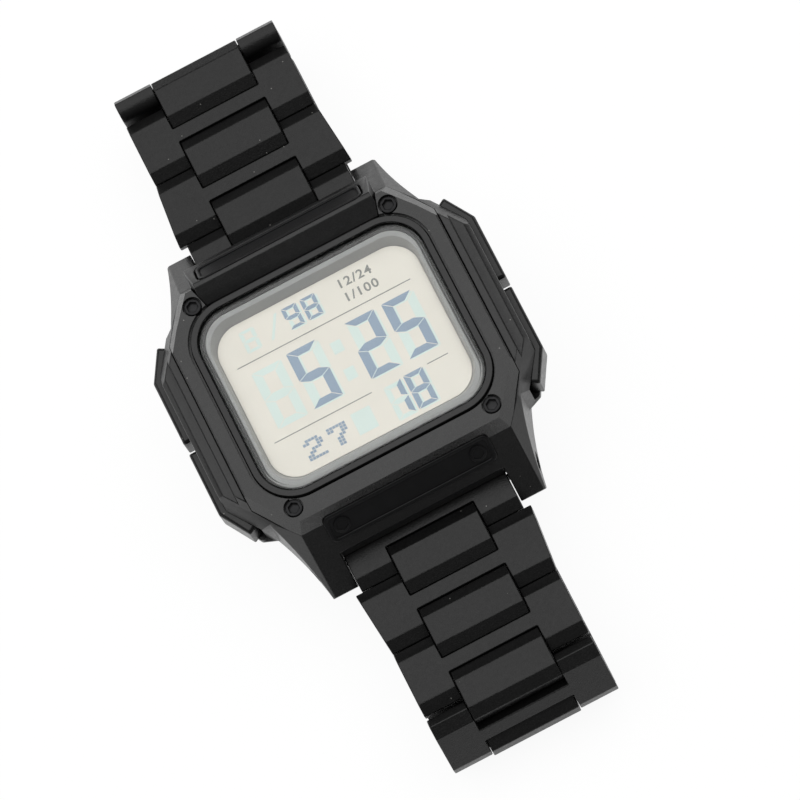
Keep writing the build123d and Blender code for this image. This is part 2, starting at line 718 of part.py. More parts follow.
def case_middle():
    """Moulded case with lugs, cavity, pusher recesses and seats for all that it carries."""
    body = Pos(0, 0, BACK_Z) * extrude(core_outline(), amount=CASE_DEPTH - TERRACE_DEPTH)
    for side in (1, -1):
        body -= above((side * TERRACE_X, 0, 0), (side, 0, 0))
    body += side_block()
    rise = (FACE_Z - STEP_DEPTH - PAST, FACE_Z - TERRACE_DEPTH)
    body += block((-TERRACE_X, TERRACE_X), (-GUARD_TIP[1], GUARD_TIP[1]), rise)
    for side in (1, -1):
        body -= end_cutter(side)
        for side_y in (1, -1):
            body -= lug_diagonal(side, side_y)
            body -= bezel_diagonal(side, side_y)
    face_seat = all_quarters(face_octagon(DIAGONAL_MARGIN, SHELL_GAP))
    body -= plan_prism(face_seat, CASE_TOP_Z, FACE_Z + PAST)
    body += hood()
    for side in (1, -1):
        body -= plate_seat(side)
        body -= lug_recess(side)
        body -= lug_undercut(side)
    cavity_top = FACE_Z - frame_bottom_depth()
    body -= slab(CAVITY_SIZE, CAVITY_CORNER, BACK_Z - PAST, cavity_top, steps=FEW_STEPS)
    opening = [side - 2 * GASKET_WIDTH for side in ring_inner()]
    body -= slab(opening, RING_CORNER - RING_WIDTH - GASKET_WIDTH, BACK_Z, FACE_Z + PAST)
    seat = [side + 2 * SHELL_GAP for side in BACK_SIZE]
    body -= slab(seat, BACK_CORNER + SHELL_GAP, BACK_Z - PAST, CAVITY_FLOOR_Z)
    body -= gasket_ring(SHELL_GAP / 2)
    for x, y in corners(*BEZEL_SCREW):
        body -= bore_z(SCREW_SHANK_RADIUS + PIN_PRESS, x, y, CASE_TOP_Z - SCREW_LENGTH, FACE_Z)
    for x, y in corners(*BACK_SCREW):
        hole_top = CAVITY_FLOOR_Z + BACK_SCREW_LENGTH
        body -= bore_z(BACK_SCREW_SHANK + PIN_PRESS, x, y, BACK_Z, hole_top)
    for side_x, side_y in corners(1, 1):
        body -= pusher_recess(side_x, side_y)
    return solids_of(body)


def flank_x(y):
    """Half width of the case at a distance along a lug, by the chord of its flank."""
    share = (y - FLANK_MIDDLE[1]) / (LUG_END_Y - FLANK_MIDDLE[1])
    return FLANK_MIDDLE[0] + (FLANK_END_X - FLANK_MIDDLE[0]) * share


def lug_recess(side):
    """Room between the lugs for the end link, with the holes for its spring bar."""
    room = WIDE_TOP + BARREL_ROOM
    beyond = LUG_END_Y + PAST
    between = (-LUG_INNER_X, LUG_INNER_X)
    low = BACK_Z - PAST
    cut = block(between, (side * LUG_BAR_Y, side * beyond), (low, TOP_PIN_Z + room))
    cut += block(between, (side * (LUG_BAR_Y - room), side * LUG_BAR_Y), (low, TOP_PIN_Z))
    cut += bore_x(room, *between, side * LUG_BAR_Y, TOP_PIN_Z, sides=CELL_SIDES)
    cut += block(between, (side * END_LIP_Y, side * beyond), (TOP_PIN_Z, FACE_Z + FAR_PAST))
    tip = LUG_BAR_TIP_RADIUS + PIN_RUN
    cut += bore_x(tip, -CASE_SIDE_X, CASE_SIDE_X, side * LUG_BAR_Y, TOP_PIN_Z)
    half = flank_x(LUG_BAR_Y) - LUG_HOLE_SINK_DEPTH
    for end in (1, -1):
        sink = (end * half, end * CASE_SIDE_X, side * LUG_BAR_Y, TOP_PIN_Z)
        cut += bore_x(LUG_HOLE_SINK_RADIUS, *sink, sides=HEAD_SIDES)
    return cut


def lug_undercut(side):
    """Wedge that slants the end faces of the lugs inwards towards the wrist."""
    top_z = slope_z(LUG_END_Y)
    points = [
        (side * LUG_END_Y, top_z),
        (side * (LUG_END_Y + PAST), top_z),
        (side * (LUG_END_Y + PAST), BACK_Z - PAST),
        (side * (LUG_END_Y - LUG_END_UNDERCUT), BACK_Z - PAST),
    ]
    return side_prism(points, -CASE_SIDE_X, CASE_SIDE_X)


def pusher_direction():
    """Unit vector along the slanted end of a pusher bar, in the first quadrant."""
    run_x = PUSHER_OUTER_X - PUSHER_TIP[0]
    run_y = PUSHER_TIP[1] - PUSHER_CORNER_Y
    length = (run_x**2 + run_y**2) ** 0.5
    return -run_x / length, run_y / length


def pusher_plan(side_x, side_y):
    """Plan of a pusher bar: straight, then bent along the corner of the case."""
    ahead_x, ahead_y = pusher_direction()
    tip_x, tip_y = PUSHER_TIP
    inner_x = PUSHER_OUTER_X - PUSHER_BAR
    inner_tip = (tip_x - PUSHER_BAR * ahead_y, tip_y + PUSHER_BAR * ahead_x)
    inner_y = inner_tip[1] + (inner_x - inner_tip[0]) * ahead_y / ahead_x
    points = [
        (PUSHER_OUTER_X, PUSHER_GAP / 2),
        (PUSHER_OUTER_X, PUSHER_CORNER_Y),
        PUSHER_TIP,
        inner_tip,
        (inner_x, inner_y),
        (inner_x, PUSHER_GAP / 2),
    ]
    return [(side_x * x, side_y * y) for x, y in points]


def recess_plan(side_x, side_y):
    """Plan of the room that a pusher bar needs, from its rest to its full travel."""
    ahead_x, ahead_y = pusher_direction()
    bar = pusher_plan(1, 1)
    shift = PUSHER_TRAVEL + PUSHER_ROOM
    end = PUSHER_ROOM - PUSHER_TRAVEL * ahead_x
    inner_tip = (bar[3][0] - shift + end * ahead_x, bar[3][1] + end * ahead_y)
    inner_corner = (bar[4][0] - shift, bar[4][1])
    near_y = PUSHER_GAP / 2 - PUSHER_ROOM
    points = [
        (PUSHER_OUTER_X + PAST, near_y),
        (PUSHER_OUTER_X + PAST, PUSHER_TIP[1] + 3 * PAST),
        (inner_tip[0] + 4 * PAST * ahead_y, inner_tip[1] - 4 * PAST * ahead_x),
        inner_tip,
        inner_corner,
        (inner_corner[0], near_y),
    ]
    return [(side_x * x, side_y * y) for x, y in points]


def stem_z():
    """Height of the pusher stems."""
    return FACE_Z - PUSHER_TOP_DEPTH - PUSHER_HEIGHT / 2


def pusher_recess(side_x, side_y):
    """Recess for a pusher bar, with the stem bore and the seat of its seal."""
    top = FACE_Z - PUSHER_TOP_DEPTH + PUSHER_ROOM
    cut = plan_prism(recess_plan(side_x, side_y), top - PUSHER_HEIGHT - 2 * PUSHER_ROOM, top)
    y, z = side_y * STEM_Y, stem_z()
    inside = CAVITY_SIZE[0] / 2 - PAST
    cut += bore_x(STEM_RADIUS + STEM_RUN, side_x * inside, side_x * PUSHER_OUTER_X, y, z)
    cut += bore_x(SEAL_RADIUS + PIN_PRESS, side_x * SEAL_X, side_x * (SEAL_X + SEAL_WIDTH), y, z)
    return cut


def ring_inner():
    """Size of the hole in the crystal ring."""
    return [side - 2 * RING_WIDTH for side in RING_SIZE]


def frame_bottom_depth():
    """Depth of the lower face of the display frame."""
    return CRYSTAL_SINK + CRYSTAL_THICKNESS + MODULE_GAP + FRAME_HEIGHT


def gasket_ring(grow):
    """Ring of the back gasket, or its groove when grown."""
    inner = [side + 2 * BACK_GASKET_OFFSET - 2 * grow for side in CAVITY_SIZE]
    outer = [side + 2 * BACK_GASKET_WIDTH + 4 * grow for side in inner]
    top = CAVITY_FLOOR_Z + BACK_GASKET_HEIGHT + grow
    corner = CAVITY_CORNER + BACK_GASKET_OFFSET - grow
    outer_corner = corner + BACK_GASKET_WIDTH + 2 * grow
    ring = slab(outer, outer_corner, CAVITY_FLOOR_Z, top, steps=FEW_STEPS)
    return ring - slab(inner, corner, CAVITY_FLOOR_Z - PAST, top + PAST, steps=FEW_STEPS)


def bezel():
    """Flat octagonal face plate with sloping ends, notched at 12 o'clock for the hood."""
    body = plan_prism(all_quarters(face_octagon(DIAGONAL_MARGIN)), CASE_TOP_Z, FACE_Z)
    for side_x, side_y in corners(1, 1):
        body -= bezel_diagonal(side_x, side_y)
        body -= lug_diagonal(side_x, side_y)
    for side in (1, -1):
        body -= end_cutter(side)
        body -= above((side * FACE_SIDE_X, 0, FACE_Z - FACE_EDGE_BEVEL), (side, 0, 1))
    groove = [side + 2 * RING_GROOVE for side in RING_SIZE]
    body -= slab(groove, RING_CORNER + RING_GROOVE, FACE_Z - RING_GROOVE_DEPTH, FACE_Z + PAST)
    seat = [side + 2 * SHELL_GAP for side in RING_SIZE]
    body -= slab(seat, RING_CORNER + SHELL_GAP, CASE_TOP_Z - PAST, FACE_Z + PAST)
    body -= plan_prism(hood_plan(SHELL_GAP), CASE_TOP_Z - PAST, FACE_Z + PAST)
    body -= plate_seat(-1)
    for x, y in corners(*BEZEL_SCREW):
        pocket_z = FACE_Z - SCREW_SINK - SCREW_HEAD_HEIGHT
        body -= bore_z(SCREW_POCKET_RADIUS, x, y, pocket_z, FACE_Z + PAST, sides=HEAD_SIDES)
        body -= bore_z(SCREW_SHANK_RADIUS + SHELL_GAP, x, y, CASE_TOP_Z - PAST, FACE_Z)
    return solids_of(body)


def bezel_screws():
    """Four screws with hexagon sockets that hold the bezel to the case."""
    top = FACE_Z - SCREW_SINK
    neck = top - SCREW_HEAD_HEIGHT
    screws = []
    for x, y in corners(*BEZEL_SCREW):
        screw = peg_z(SCREW_HEAD_RADIUS, x, y, neck, top, sides=HEAD_SIDES)
        screw += peg_z(SCREW_SHANK_RADIUS, x, y, top - SCREW_LENGTH, neck)
        socket = (x, y, top - SCREW_SOCKET_DEPTH, top + PAST)
        screw -= bore_z(SCREW_SOCKET_FLATS / 2, *socket, sides=6)
        screws.append(screw)
    return solids_of(*screws)


def crystal_ring():
    """Raised ring around the crystal."""
    ring = slab(RING_SIZE, RING_CORNER, CASE_TOP_Z, FACE_Z)
    ring -= slab(ring_inner(), RING_CORNER - RING_WIDTH, CASE_TOP_Z - PAST, FACE_Z + PAST)
    return solids_of(ring)


def crystal():
    """Flat crystal with a bevelled edge."""
    top = FACE_Z - CRYSTAL_SINK
    size = [side - 2 * CRYSTAL_RIM_GAP for side in ring_inner()]
    corner = RING_CORNER - RING_WIDTH - CRYSTAL_RIM_GAP
    body = slab(size, corner, top - CRYSTAL_THICKNESS, top)
    rim = body.faces().sort_by(Axis.Z)[-1].outer_wire().edges()
    return solids_of(chamfer(rim, CRYSTAL_BEVEL))


def crystal_gasket():
    """Flat gasket between the crystal and the case."""
    top = FACE_Z - CRYSTAL_SINK - CRYSTAL_THICKNESS
    corner = RING_CORNER - RING_WIDTH
    outer = [side - SHELL_GAP for side in ring_inner()]
    inner = [side - 2 * GASKET_WIDTH for side in ring_inner()]
    ring = slab(outer, corner - SHELL_GAP / 2, CASE_TOP_Z, top)
    return solids_of(ring - slab(inner, corner - GASKET_WIDTH, CASE_TOP_Z - PAST, top + PAST))


def display_frame():
    """Deep frame between the crystal and the display, its walls tapering inwards."""
    top = FACE_Z - CRYSTAL_SINK - CRYSTAL_THICKNESS - MODULE_GAP
    bottom = top - FRAME_HEIGHT
    outer = [side - 2 * GASKET_WIDTH - 2 * SHELL_GAP for side in ring_inner()]
    corner = RING_CORNER - RING_WIDTH - GASKET_WIDTH - SHELL_GAP
    body = slab(outer, corner, bottom, top)
    mouth = [side - 2 * wall for side, wall in zip(outer, FRAME_WALL)]
    foot = [side - 2 * taper for side, taper in zip(mouth, FRAME_TAPER)]
    upper = slab(mouth, FRAME_CORNER, top, top + PAST).faces().sort_by(Axis.Z)[0]
    lower = slab(foot, FRAME_CORNER, bottom, bottom + PAST).faces().sort_by(Axis.Z)[0]
    return solids_of(body - loft([lower, upper], ruled=True))


def lcd_top_z():
    """Height of the upper face of the display glass."""
    return FACE_Z - frame_bottom_depth() - MODULE_GAP


def under_lcd_z():
    """Height of what lies directly under the display glass."""
    return lcd_top_z() - LCD_THICKNESS - MODULE_GAP


def board_top_z():
    """Height of the upper face of the circuit board."""
    return FACE_Z - BOARD_DEPTH


def under_board_z():
    """Height of what lies directly under the circuit board."""
    return board_top_z() - BOARD_THICKNESS - MODULE_GAP


def plate_at(size, top, thickness, y=0.0):
    """Square-cornered flat piece by its upper face."""
    half_x, half_y = size[0] / 2, size[1] / 2
    return block((-half_x, half_x), (y - half_y, y + half_y), (top - thickness, top))


def lcd_glass():
    """Display glass."""
    return solids_of(plate_at(LCD_SIZE, lcd_top_z(), LCD_THICKNESS))


def light_guide():
    """Plate that lights the display from behind."""
    return solids_of(plate_at(LIGHT_GUIDE_SIZE, under_lcd_z(), LIGHT_GUIDE_THICKNESS))


def display_connectors():
    """Two rubber strips that join the display to the board."""
    y = (LCD_SIZE[1] - CONNECTOR_SIZE[1]) / 2 - MODULE_GAP
    height = under_lcd_z() - board_top_z() - MODULE_GAP
    strips = [plate_at(CONNECTOR_SIZE, under_lcd_z(), height, side * y) for side in (1, -1)]
    return solids_of(*strips)


def circuit_board():
    """Circuit board with the chip under its resin drop."""
    top = board_top_z()
    board = slab(BOARD_SIZE, BOARD_CORNER, top - BOARD_THICKNESS, top, steps=FEW_STEPS)
    drop = extrude(RegularPolygon(CHIP_RADIUS, HEAD_SIDES), CHIP_HEIGHT, taper=CHIP_TAPER)
    return solids_of(board + Pos(0, 0, top) * drop)


def module_holder():
    """Plastic frame that holds display, board and battery together."""
    top = lcd_top_z()
    low = under_board_z() - BATTERY_THICKNESS
    corner = CAVITY_CORNER - (CAVITY_SIZE[0] - HOLDER_SIZE[0]) / 2
    body = slab(HOLDER_SIZE, corner, low, top, steps=FEW_STEPS)
    hole = (under_board_z(), top + PAST)
    body -= slab(HOLDER_HOLE_SIZE, HOLDER_HOLE_CORNER, *hole, steps=FEW_STEPS)
    well = (low - PAST, under_board_z() + PAST)
    body -= bore_z(BATTERY_RADIUS + SHELL_GAP, 0, 0, *well, sides=CELL_SIDES)
    reach = STEM_CLIP_RADIUS + PUSHER_ROOM
    for side in (1, -1):
        y = side * STEM_Y
        slot = ((y - reach, y + reach), (stem_z() - reach, stem_z() + reach))
        body -= block((-HOLDER_SIZE[0], HOLDER_SIZE[0]), *slot)
    return solids_of(body)


def battery():
    """Button cell with its stepped rim."""
    top = under_board_z() - MODULE_GAP
    low = under_board_z() - BATTERY_THICKNESS
    cell = peg_z(BATTERY_RADIUS, 0, 0, low + BATTERY_STEP, top, sides=CELL_SIDES)
    cell += peg_z(BATTERY_STEP_RADIUS, 0, 0, low, low + BATTERY_STEP, sides=CELL_SIDES)
    return solids_of(cell)


def battery_clip():
    """Flat spring strap over the battery."""
    top = under_board_z() - BATTERY_THICKNESS - MODULE_GAP
    return solids_of(plate_at(BATTERY_CLIP_SIZE, top, BATTERY_CLIP_THICKNESS))


def buzzer():
    """Sounder disc on the inside of the case back."""
    low = CAVITY_FLOOR_Z + BACK_PANEL_STEP
    return solids_of(peg_z(BUZZER_RADIUS, 0, 0, low, low + BUZZER_THICKNESS, sides=CELL_SIDES))


def case_back():
    """Back plate with an inner step, a sunk outer panel and countersunk screw holes."""
    body = slab(BACK_SIZE, BACK_CORNER, BACK_Z, CAVITY_FLOOR_Z)
    inner = [side - 2 * SHELL_GAP for side in CAVITY_SIZE]
    step_z = CAVITY_FLOOR_Z + BACK_PANEL_STEP
    inner_corner = CAVITY_CORNER - SHELL_GAP
    body += slab(inner, inner_corner, CAVITY_FLOOR_Z, step_z, steps=FEW_STEPS)
    outside = BACK_Z - PAST
    body -= slab(BACK_PANEL_SIZE, BACK_CORNER, outside, BACK_Z + BACK_PANEL_STEP)
    for x, y in corners(*BACK_SCREW):
        body -= bore_z(BACK_SCREW_SHANK + SHELL_GAP, x, y, outside, step_z)
        body -= bore_z(BACK_SCREW_HEAD + SHELL_GAP, x, y, outside, BACK_Z + BACK_THICKNESS / 2)
    return solids_of(body)


def back_screws():
    """Four slotted screws that hold the case back."""
    seat = BACK_Z + BACK_THICKNESS / 2
    slot, depth = BACK_SCREW_SLOT
    screws = []
    for x, y in corners(*BACK_SCREW):
        screw = peg_z(BACK_SCREW_HEAD, x, y, BACK_Z + MODULE_GAP, seat)
        screw += peg_z(BACK_SCREW_SHANK, x, y, seat, CAVITY_FLOOR_Z + BACK_SCREW_LENGTH - SHELL_GAP)
        across = (x - BACK_SCREW_HEAD, x + BACK_SCREW_HEAD)
        screw -= block(across, (y - slot / 2, y + slot / 2), (BACK_Z, BACK_Z + MODULE_GAP + depth))
        screws.append(screw)
    return solids_of(*screws)


def pusher(side_x, side_y):
    """Pusher bar that follows the corner of the case, with its stem and retaining clip."""
    top = FACE_Z - PUSHER_TOP_DEPTH
    bar = plan_prism(pusher_plan(side_x, side_y), top - PUSHER_HEIGHT, top)
    bar = chamfer(bar.faces().sort_by(Axis.Z)[-1].outer_wire().edges(), PUSHER_EDGE_BEVEL)
    y, z = side_y * STEM_Y, stem_z()
    inner = PUSHER_OUTER_X - PUSHER_BAR / 2
    stem = peg_x(STEM_RADIUS, side_x * STEM_END_X, side_x * inner, y, z)
    clip_x = STEM_END_X + STEM_CLIP_INSET
    core = STEM_RADIUS - STEM_GROOVE_DEPTH
    groove = (side_x * clip_x, side_x * (clip_x + STEM_CLIP_THICKNESS))
    stem -= peg_x(STEM_RADIUS + PAST, *groove, y, z) - peg_x(core, *groove, y, z)
    seat = (side_x * (clip_x + PIN_PRESS), side_x * (clip_x + STEM_CLIP_THICKNESS - PIN_PRESS))
    clip = peg_x(STEM_CLIP_RADIUS, *seat, y, z) - bore_x(core + PIN_PRESS, *seat, y, z)
    return solids_of(bar + stem, clip)


def pusher_seals():
    """One rubber ring on each pusher stem."""
    seals = []
    for side_x, side_y in corners(1, 1):
        span = (side_x * (SEAL_X + PIN_RUN), side_x * (SEAL_X + SEAL_WIDTH - PIN_RUN))
        at = (side_y * STEM_Y, stem_z())
        seals.append(peg_x(SEAL_RADIUS, *span, *at) - bore_x(STEM_RADIUS + PIN_PRESS, *span, *at))
    return solids_of(*seals)


def contact_springs():
    """Four leaf contacts on the board, each just short of a pressed stem."""
    low = board_top_z()
    springs = []
    for side_x, side_y in corners(1, 1):
        width = (side_y * STEM_Y - CONTACT_WIDTH / 2, side_y * STEM_Y + CONTACT_WIDTH / 2)
        inner = side_x * (CONTACT_X - CONTACT_THICKNESS)
        leaf = block((inner, side_x * CONTACT_X), width, (low, stem_z() + STEM_RADIUS / 2))
        foot = (side_x * (CONTACT_X - CONTACT_FOOT), side_x * CONTACT_X)
        springs.append(leaf + block(foot, width, (low, low + CONTACT_THICKNESS)))
    return solids_of(*springs)


def lug_spring_bars():
    """One sprung bar between the lugs on each side."""
    half = LUG_INNER_X - LUG_SIDE_GAP
    reach = half + LUG_BAR_TIP_LENGTH
    bars = []
    for side in (1, -1):
        at = (side * LUG_BAR_Y, TOP_PIN_Z)
        bar = peg_x(LUG_BAR_RADIUS, -half, half, *at)
        bars.append(bar + peg_x(LUG_BAR_TIP_RADIUS, -reach, reach, *at))
    return solids_of(*bars)


# Folding clasp

def clasp_ends():
    """Pins at the two ends of the clasp, at 6 and at 12 o'clock, as (y, z)."""
    y, z = band_joints(BENDS_6)[0][-1]
    return (-y, z), band_joints(BENDS_12)[0][-1]


def cover_span():
    """Where the cover starts and ends along Y."""
    end_6, end_12 = clasp_ends()
    return end_6[0] + COVER_BODY_SETBACK, end_12[0] - leg_reach() - COVER_END_GAP


def hinge_pin():
    """Hinge of cover and middle leaf, as (y, z)."""
    return cover_span()[1] - HINGE_PIN_INSET, clasp_ends()[0][1]


def fold_pin():
    """Hinge of middle and inner leaf, as (y, z)."""
    end_6 = clasp_ends()[0]
    return end_6[0] + FOLD_PIN_INSET, end_6[1]


def eye(radius, half, pin):
    """Round end of a leaf about its pin."""
    return peg_x(radius, -half, half, *pin, sides=HEAD_SIDES)


def clasp_cover():
    """Outer part of the clasp: a shallow channel with its end tab, hinge ears and hinge pin."""
    end_6 = clasp_ends()[0]
    start, stop = cover_span()
    half = CLASP_WIDTH / 2
    inside = half - COVER_WALL
    middle = (0, (start + stop) / 2)
    body = slab((CLASP_WIDTH, stop - start), COVER_CORNER, 0, COVER_WALL_HEIGHT, middle)
    rim = body.faces().sort_by(Axis.Z)[0].outer_wire().edges()
    body = chamfer(rim, COVER_EDGE_BEVEL)
    trough = (COVER_THICKNESS, COVER_WALL_HEIGHT + PAST)
    body -= block((-inside, inside), (start - PAST, stop + PAST), trough)
    y, z = end_6
    tab_half = MID_WIDTH / 2
    tilt = radians(COVER_TAB_TILT)
    tab = [
        (y + MID_END_REACH * cos(tilt), z - MID_END_REACH * sin(tilt)),
        (y + COVER_BODY_SETBACK, 0),
        (y + COVER_TAB_REACH, 0),
        (y + COVER_TAB_REACH, COVER_THICKNESS),
        (y + MID_END_REACH * sin(tilt), z + MID_END_REACH * cos(tilt)),
        (y, z),
    ]
    body += side_prism(tab, -tab_half, tab_half) + eye(MID_END_REACH, tab_half, end_6)
    body -= bore_x(PIN_RADIUS + PIN_RUN, -half, half, *end_6)
    pin = hinge_pin()
    ear_in = MIDDLE_LEAF_WIDTH / 2 + LEAF_GAP
    ear_out = ear_in + EAR_WIDTH
    ears = eye(LEAF_EYE_RADIUS, ear_out, pin)
    foot = (pin[0] - LEAF_EYE_RADIUS, pin[0] + LEAF_EYE_RADIUS)
    ears += block((-ear_out, ear_out), foot, (COVER_THICKNESS / 2, pin[1]))
    ears -= block((-ear_in, ear_in), (foot[0] - PAST, foot[1] + PAST), trough)
    body += ears
    body -= bore_x(CLASP_PIN_RADIUS + PIN_PRESS, -inside, inside, *pin)
    for side in (1, -1):
        body -= button_window(side)
    return solids_of(body, peg_x(CLASP_PIN_RADIUS, -ear_out, ear_out, *pin))


def clasp_middle_leaf():
    """Leaf that folds between the cover and the inner leaf."""
    hinge, fold = hinge_pin(), fold_pin()
    half = MIDDLE_LEAF_WIDTH / 2
    low = hinge[1] - LEAF_EYE_RADIUS
    body = block((-half, half), (fold[0], hinge[0]), (low, low + LEAF_THICKNESS))
    slot = INNER_LEAF_WIDTH / 2 + LEAF_GAP
    reach = LEAF_EYE_RADIUS + LEAF_GAP
    for pin in (hinge, fold):
        body += eye(LEAF_EYE_RADIUS, half, pin)
        body -= block((-slot, slot), (pin[0] - reach, pin[0] + reach), (low - PAST, pin[1] + reach))
        body -= bore_x(CLASP_PIN_RADIUS + PIN_RUN, -half, half, *pin)
    return solids_of(body)


def clasp_inner_leaf():
    """Leaf next to the wrist, with its fold pin and the eye for the last link at 12 o'clock."""
    fold, end_12 = fold_pin(), clasp_ends()[1]
    half = INNER_LEAF_WIDTH / 2
    tab_half = MID_WIDTH / 2
    top = fold[1] + LEAF_EYE_RADIUS
    shoulder = end_12[0] - leg_reach() + COVER_END_GAP
    body = block((-half, half), (fold[0], end_12[0]), (top - LEAF_THICKNESS, top))
    body += block((-tab_half, tab_half), (shoulder, end_12[0]), (top - LEAF_THICKNESS, top))
    body += eye(LEAF_EYE_RADIUS, half, fold)
    body += eye(MID_END_REACH, tab_half, end_12)
    body -= bore_x(CLASP_PIN_RADIUS + PIN_PRESS, -half, half, *fold)
    body -= bore_x(PIN_RADIUS + OPEN_EYE_GAP, -tab_half, tab_half, *end_12)
    reach = MIDDLE_LEAF_WIDTH / 2
    return solids_of(body, peg_x(CLASP_PIN_RADIUS, -reach, reach, *fold))


def button_window(side):
    """Opening in the wall of the cover for a release button."""
    y, z = fold_pin()
    length = BUTTON_LENGTH / 2 + BUTTON_GAP
    height = BUTTON_HEIGHT / 2 + BUTTON_GAP
    half = CLASP_WIDTH / 2
    through = (side * (half - COVER_WALL - PAST), side * (half + PAST))
    return block(through, (y - length, y + length), (z - height, z + height))


def clasp_button(side):
    """Release button in the wall of the cover, held by its flange."""
    y, z = fold_pin()
    outer = CLASP_WIDTH / 2 + BUTTON_PROUD
    wall = CLASP_WIDTH / 2 - COVER_WALL - BUTTON_GAP
    length, height = BUTTON_LENGTH / 2, BUTTON_HEIGHT / 2
    nose = (side * BUTTON_NOSE_X, side * outer)
    body = block(nose, (y - length, y + length), (z - height, z + height))
    face = body.faces().sort_by(Axis.X)[-1 if side > 0 else 0]
    body = chamfer(face.outer_wire().edges(), BUTTON_BEVEL)
    length += BUTTON_FLANGE
    height += BUTTON_FLANGE / 2
    rim = (side * (wall - BUTTON_FLANGE), side * wall)
    return solids_of(body + block(rim, (y - length, y + length), (z - height, z + height)))


def build_all():
    """Every node of the watch, by name."""
    nodes = {
        "case_middle": case_middle(),
        "bezel": bezel(),
        "bezel_screws": bezel_screws(),
        "crystal_ring": crystal_ring(),
        "crystal": crystal(),
        "crystal_gasket": crystal_gasket(),
        "display_frame": display_frame(),
        "lcd_glass": lcd_glass(),
        "light_guide": light_guide(),
        "display_connectors": display_connectors(),
        "circuit_board": circuit_board(),
        "module_holder": module_holder(),
        "contact_springs": contact_springs(),
        "battery": battery(),
        "battery_clip": battery_clip(),
        "buzzer": buzzer(),
        "case_back": case_back(),
        "back_gasket": solids_of(gasket_ring(0)),
        "back_screws": back_screws(),
        "plate_12": plate(1),
        "plate_6": plate(-1),
        "plate_rivets": plate_rivets(),
        "pusher_2": pusher(1, 1),
        "pusher_4": pusher(1, -1),
        "pusher_8": pusher(-1, -1),
        "pusher_10": pusher(-1, 1),
        "pusher_seals": pusher_seals(),
        "lug_spring_bars": lug_spring_bars(),
        "clasp_cover": clasp_cover(),
        "clasp_middle_leaf": clasp_middle_leaf(),
        "clasp_inner_leaf": clasp_inner_leaf(),
        "clasp_button_left": clasp_button(-1),
        "clasp_button_right": clasp_button(1),
    }
    nodes.update(bracelet_half("12", BENDS_12, 1))
    nodes.update(bracelet_half("6", BENDS_6, -1))
    return nodes


os.makedirs("parts", exist_ok=True)
for node, shape in build_all().items():
    export_step(shape, f"parts/{node}.step")
    print(node, len(shape.solids()), round(sum(solid.volume for solid in shape.solids()), 1))
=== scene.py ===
"""Blender scene of a black digital watch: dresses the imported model, lights it, sets the camera.

Sizes are written in millimetres and become metres where a mesh is made. +X points to 3 o'clock,
+Y to 12 o'clock, +Z up, and the watch stands on the outer face of its clasp.
"""
import logging
import math
from collections.abc import Iterable, Iterator, Sequence
from contextlib import contextmanager
from dataclasses import dataclass, field
from enum import Enum
from functools import cache

import bmesh
import bpy
from mathutils import Matrix, Vector


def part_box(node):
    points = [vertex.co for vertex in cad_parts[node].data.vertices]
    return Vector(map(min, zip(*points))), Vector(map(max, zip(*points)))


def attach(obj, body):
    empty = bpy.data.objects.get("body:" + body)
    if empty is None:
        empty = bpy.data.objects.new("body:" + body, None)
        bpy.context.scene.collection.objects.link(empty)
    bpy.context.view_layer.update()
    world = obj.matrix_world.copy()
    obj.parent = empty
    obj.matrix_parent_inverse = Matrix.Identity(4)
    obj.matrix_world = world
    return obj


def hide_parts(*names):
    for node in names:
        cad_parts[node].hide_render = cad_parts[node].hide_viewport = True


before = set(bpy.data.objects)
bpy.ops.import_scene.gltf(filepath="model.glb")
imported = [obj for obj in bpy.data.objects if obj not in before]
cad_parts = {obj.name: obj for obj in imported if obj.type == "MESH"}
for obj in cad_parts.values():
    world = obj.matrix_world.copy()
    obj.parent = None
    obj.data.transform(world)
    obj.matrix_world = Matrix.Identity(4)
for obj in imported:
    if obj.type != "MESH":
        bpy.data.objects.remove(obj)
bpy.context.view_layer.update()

log = logging.getLogger("digital_watch")

MM = 0.001
WHITE = (1.0, 1.0, 1.0, 1.0)
OVERCUT = 1.0  # how far a cutting tool sticks out of what it cuts
LOFT_MERGE = 1e-5  # points this near are one: in millimetres while a loft is made
MESH_MERGE = 2e-6  # and in metres afterwards
SLICE_MERGE = 1e-7
FLAT_BEND = 0.4  # faces that bend less, in degrees, become one
EDGE_BEND = 22.0  # edges that bend more are rounded
SHADE_BEND = 30.0  # and those that bend more than this stay sharp in the shading
EDGE_STRIPS = 3
ROOM_PER_WIDTH = 2.4  # length that an edge's neighbours need, as a share of its rounding
WAVE_PERIOD = 0.314  # period of the wave texture at scale 1

Point = tuple[float, float]
Triple = tuple[float, float, float]
Plan = list[Point]
Loop = list[Vector]
Piece = bpy.types.Object
Node = bpy.types.Node
Socket = bpy.types.NodeSocket


class End(Enum):
    """The two ends of the watch, as the sign of their side along Y."""

    TWELVE = 1
    SIX = -1


# Node trees and finishes

def colour(tone: Iterable[float]) -> tuple[float, ...]:
    """Linear colour of an sRGB tone from 0 to 255."""
    shares = [value / 255 for value in tone]
    return (*[s / 12.92 if s <= 0.04045 else ((s + 0.055) / 1.055) ** 2.4 for s in shares], 1.0)


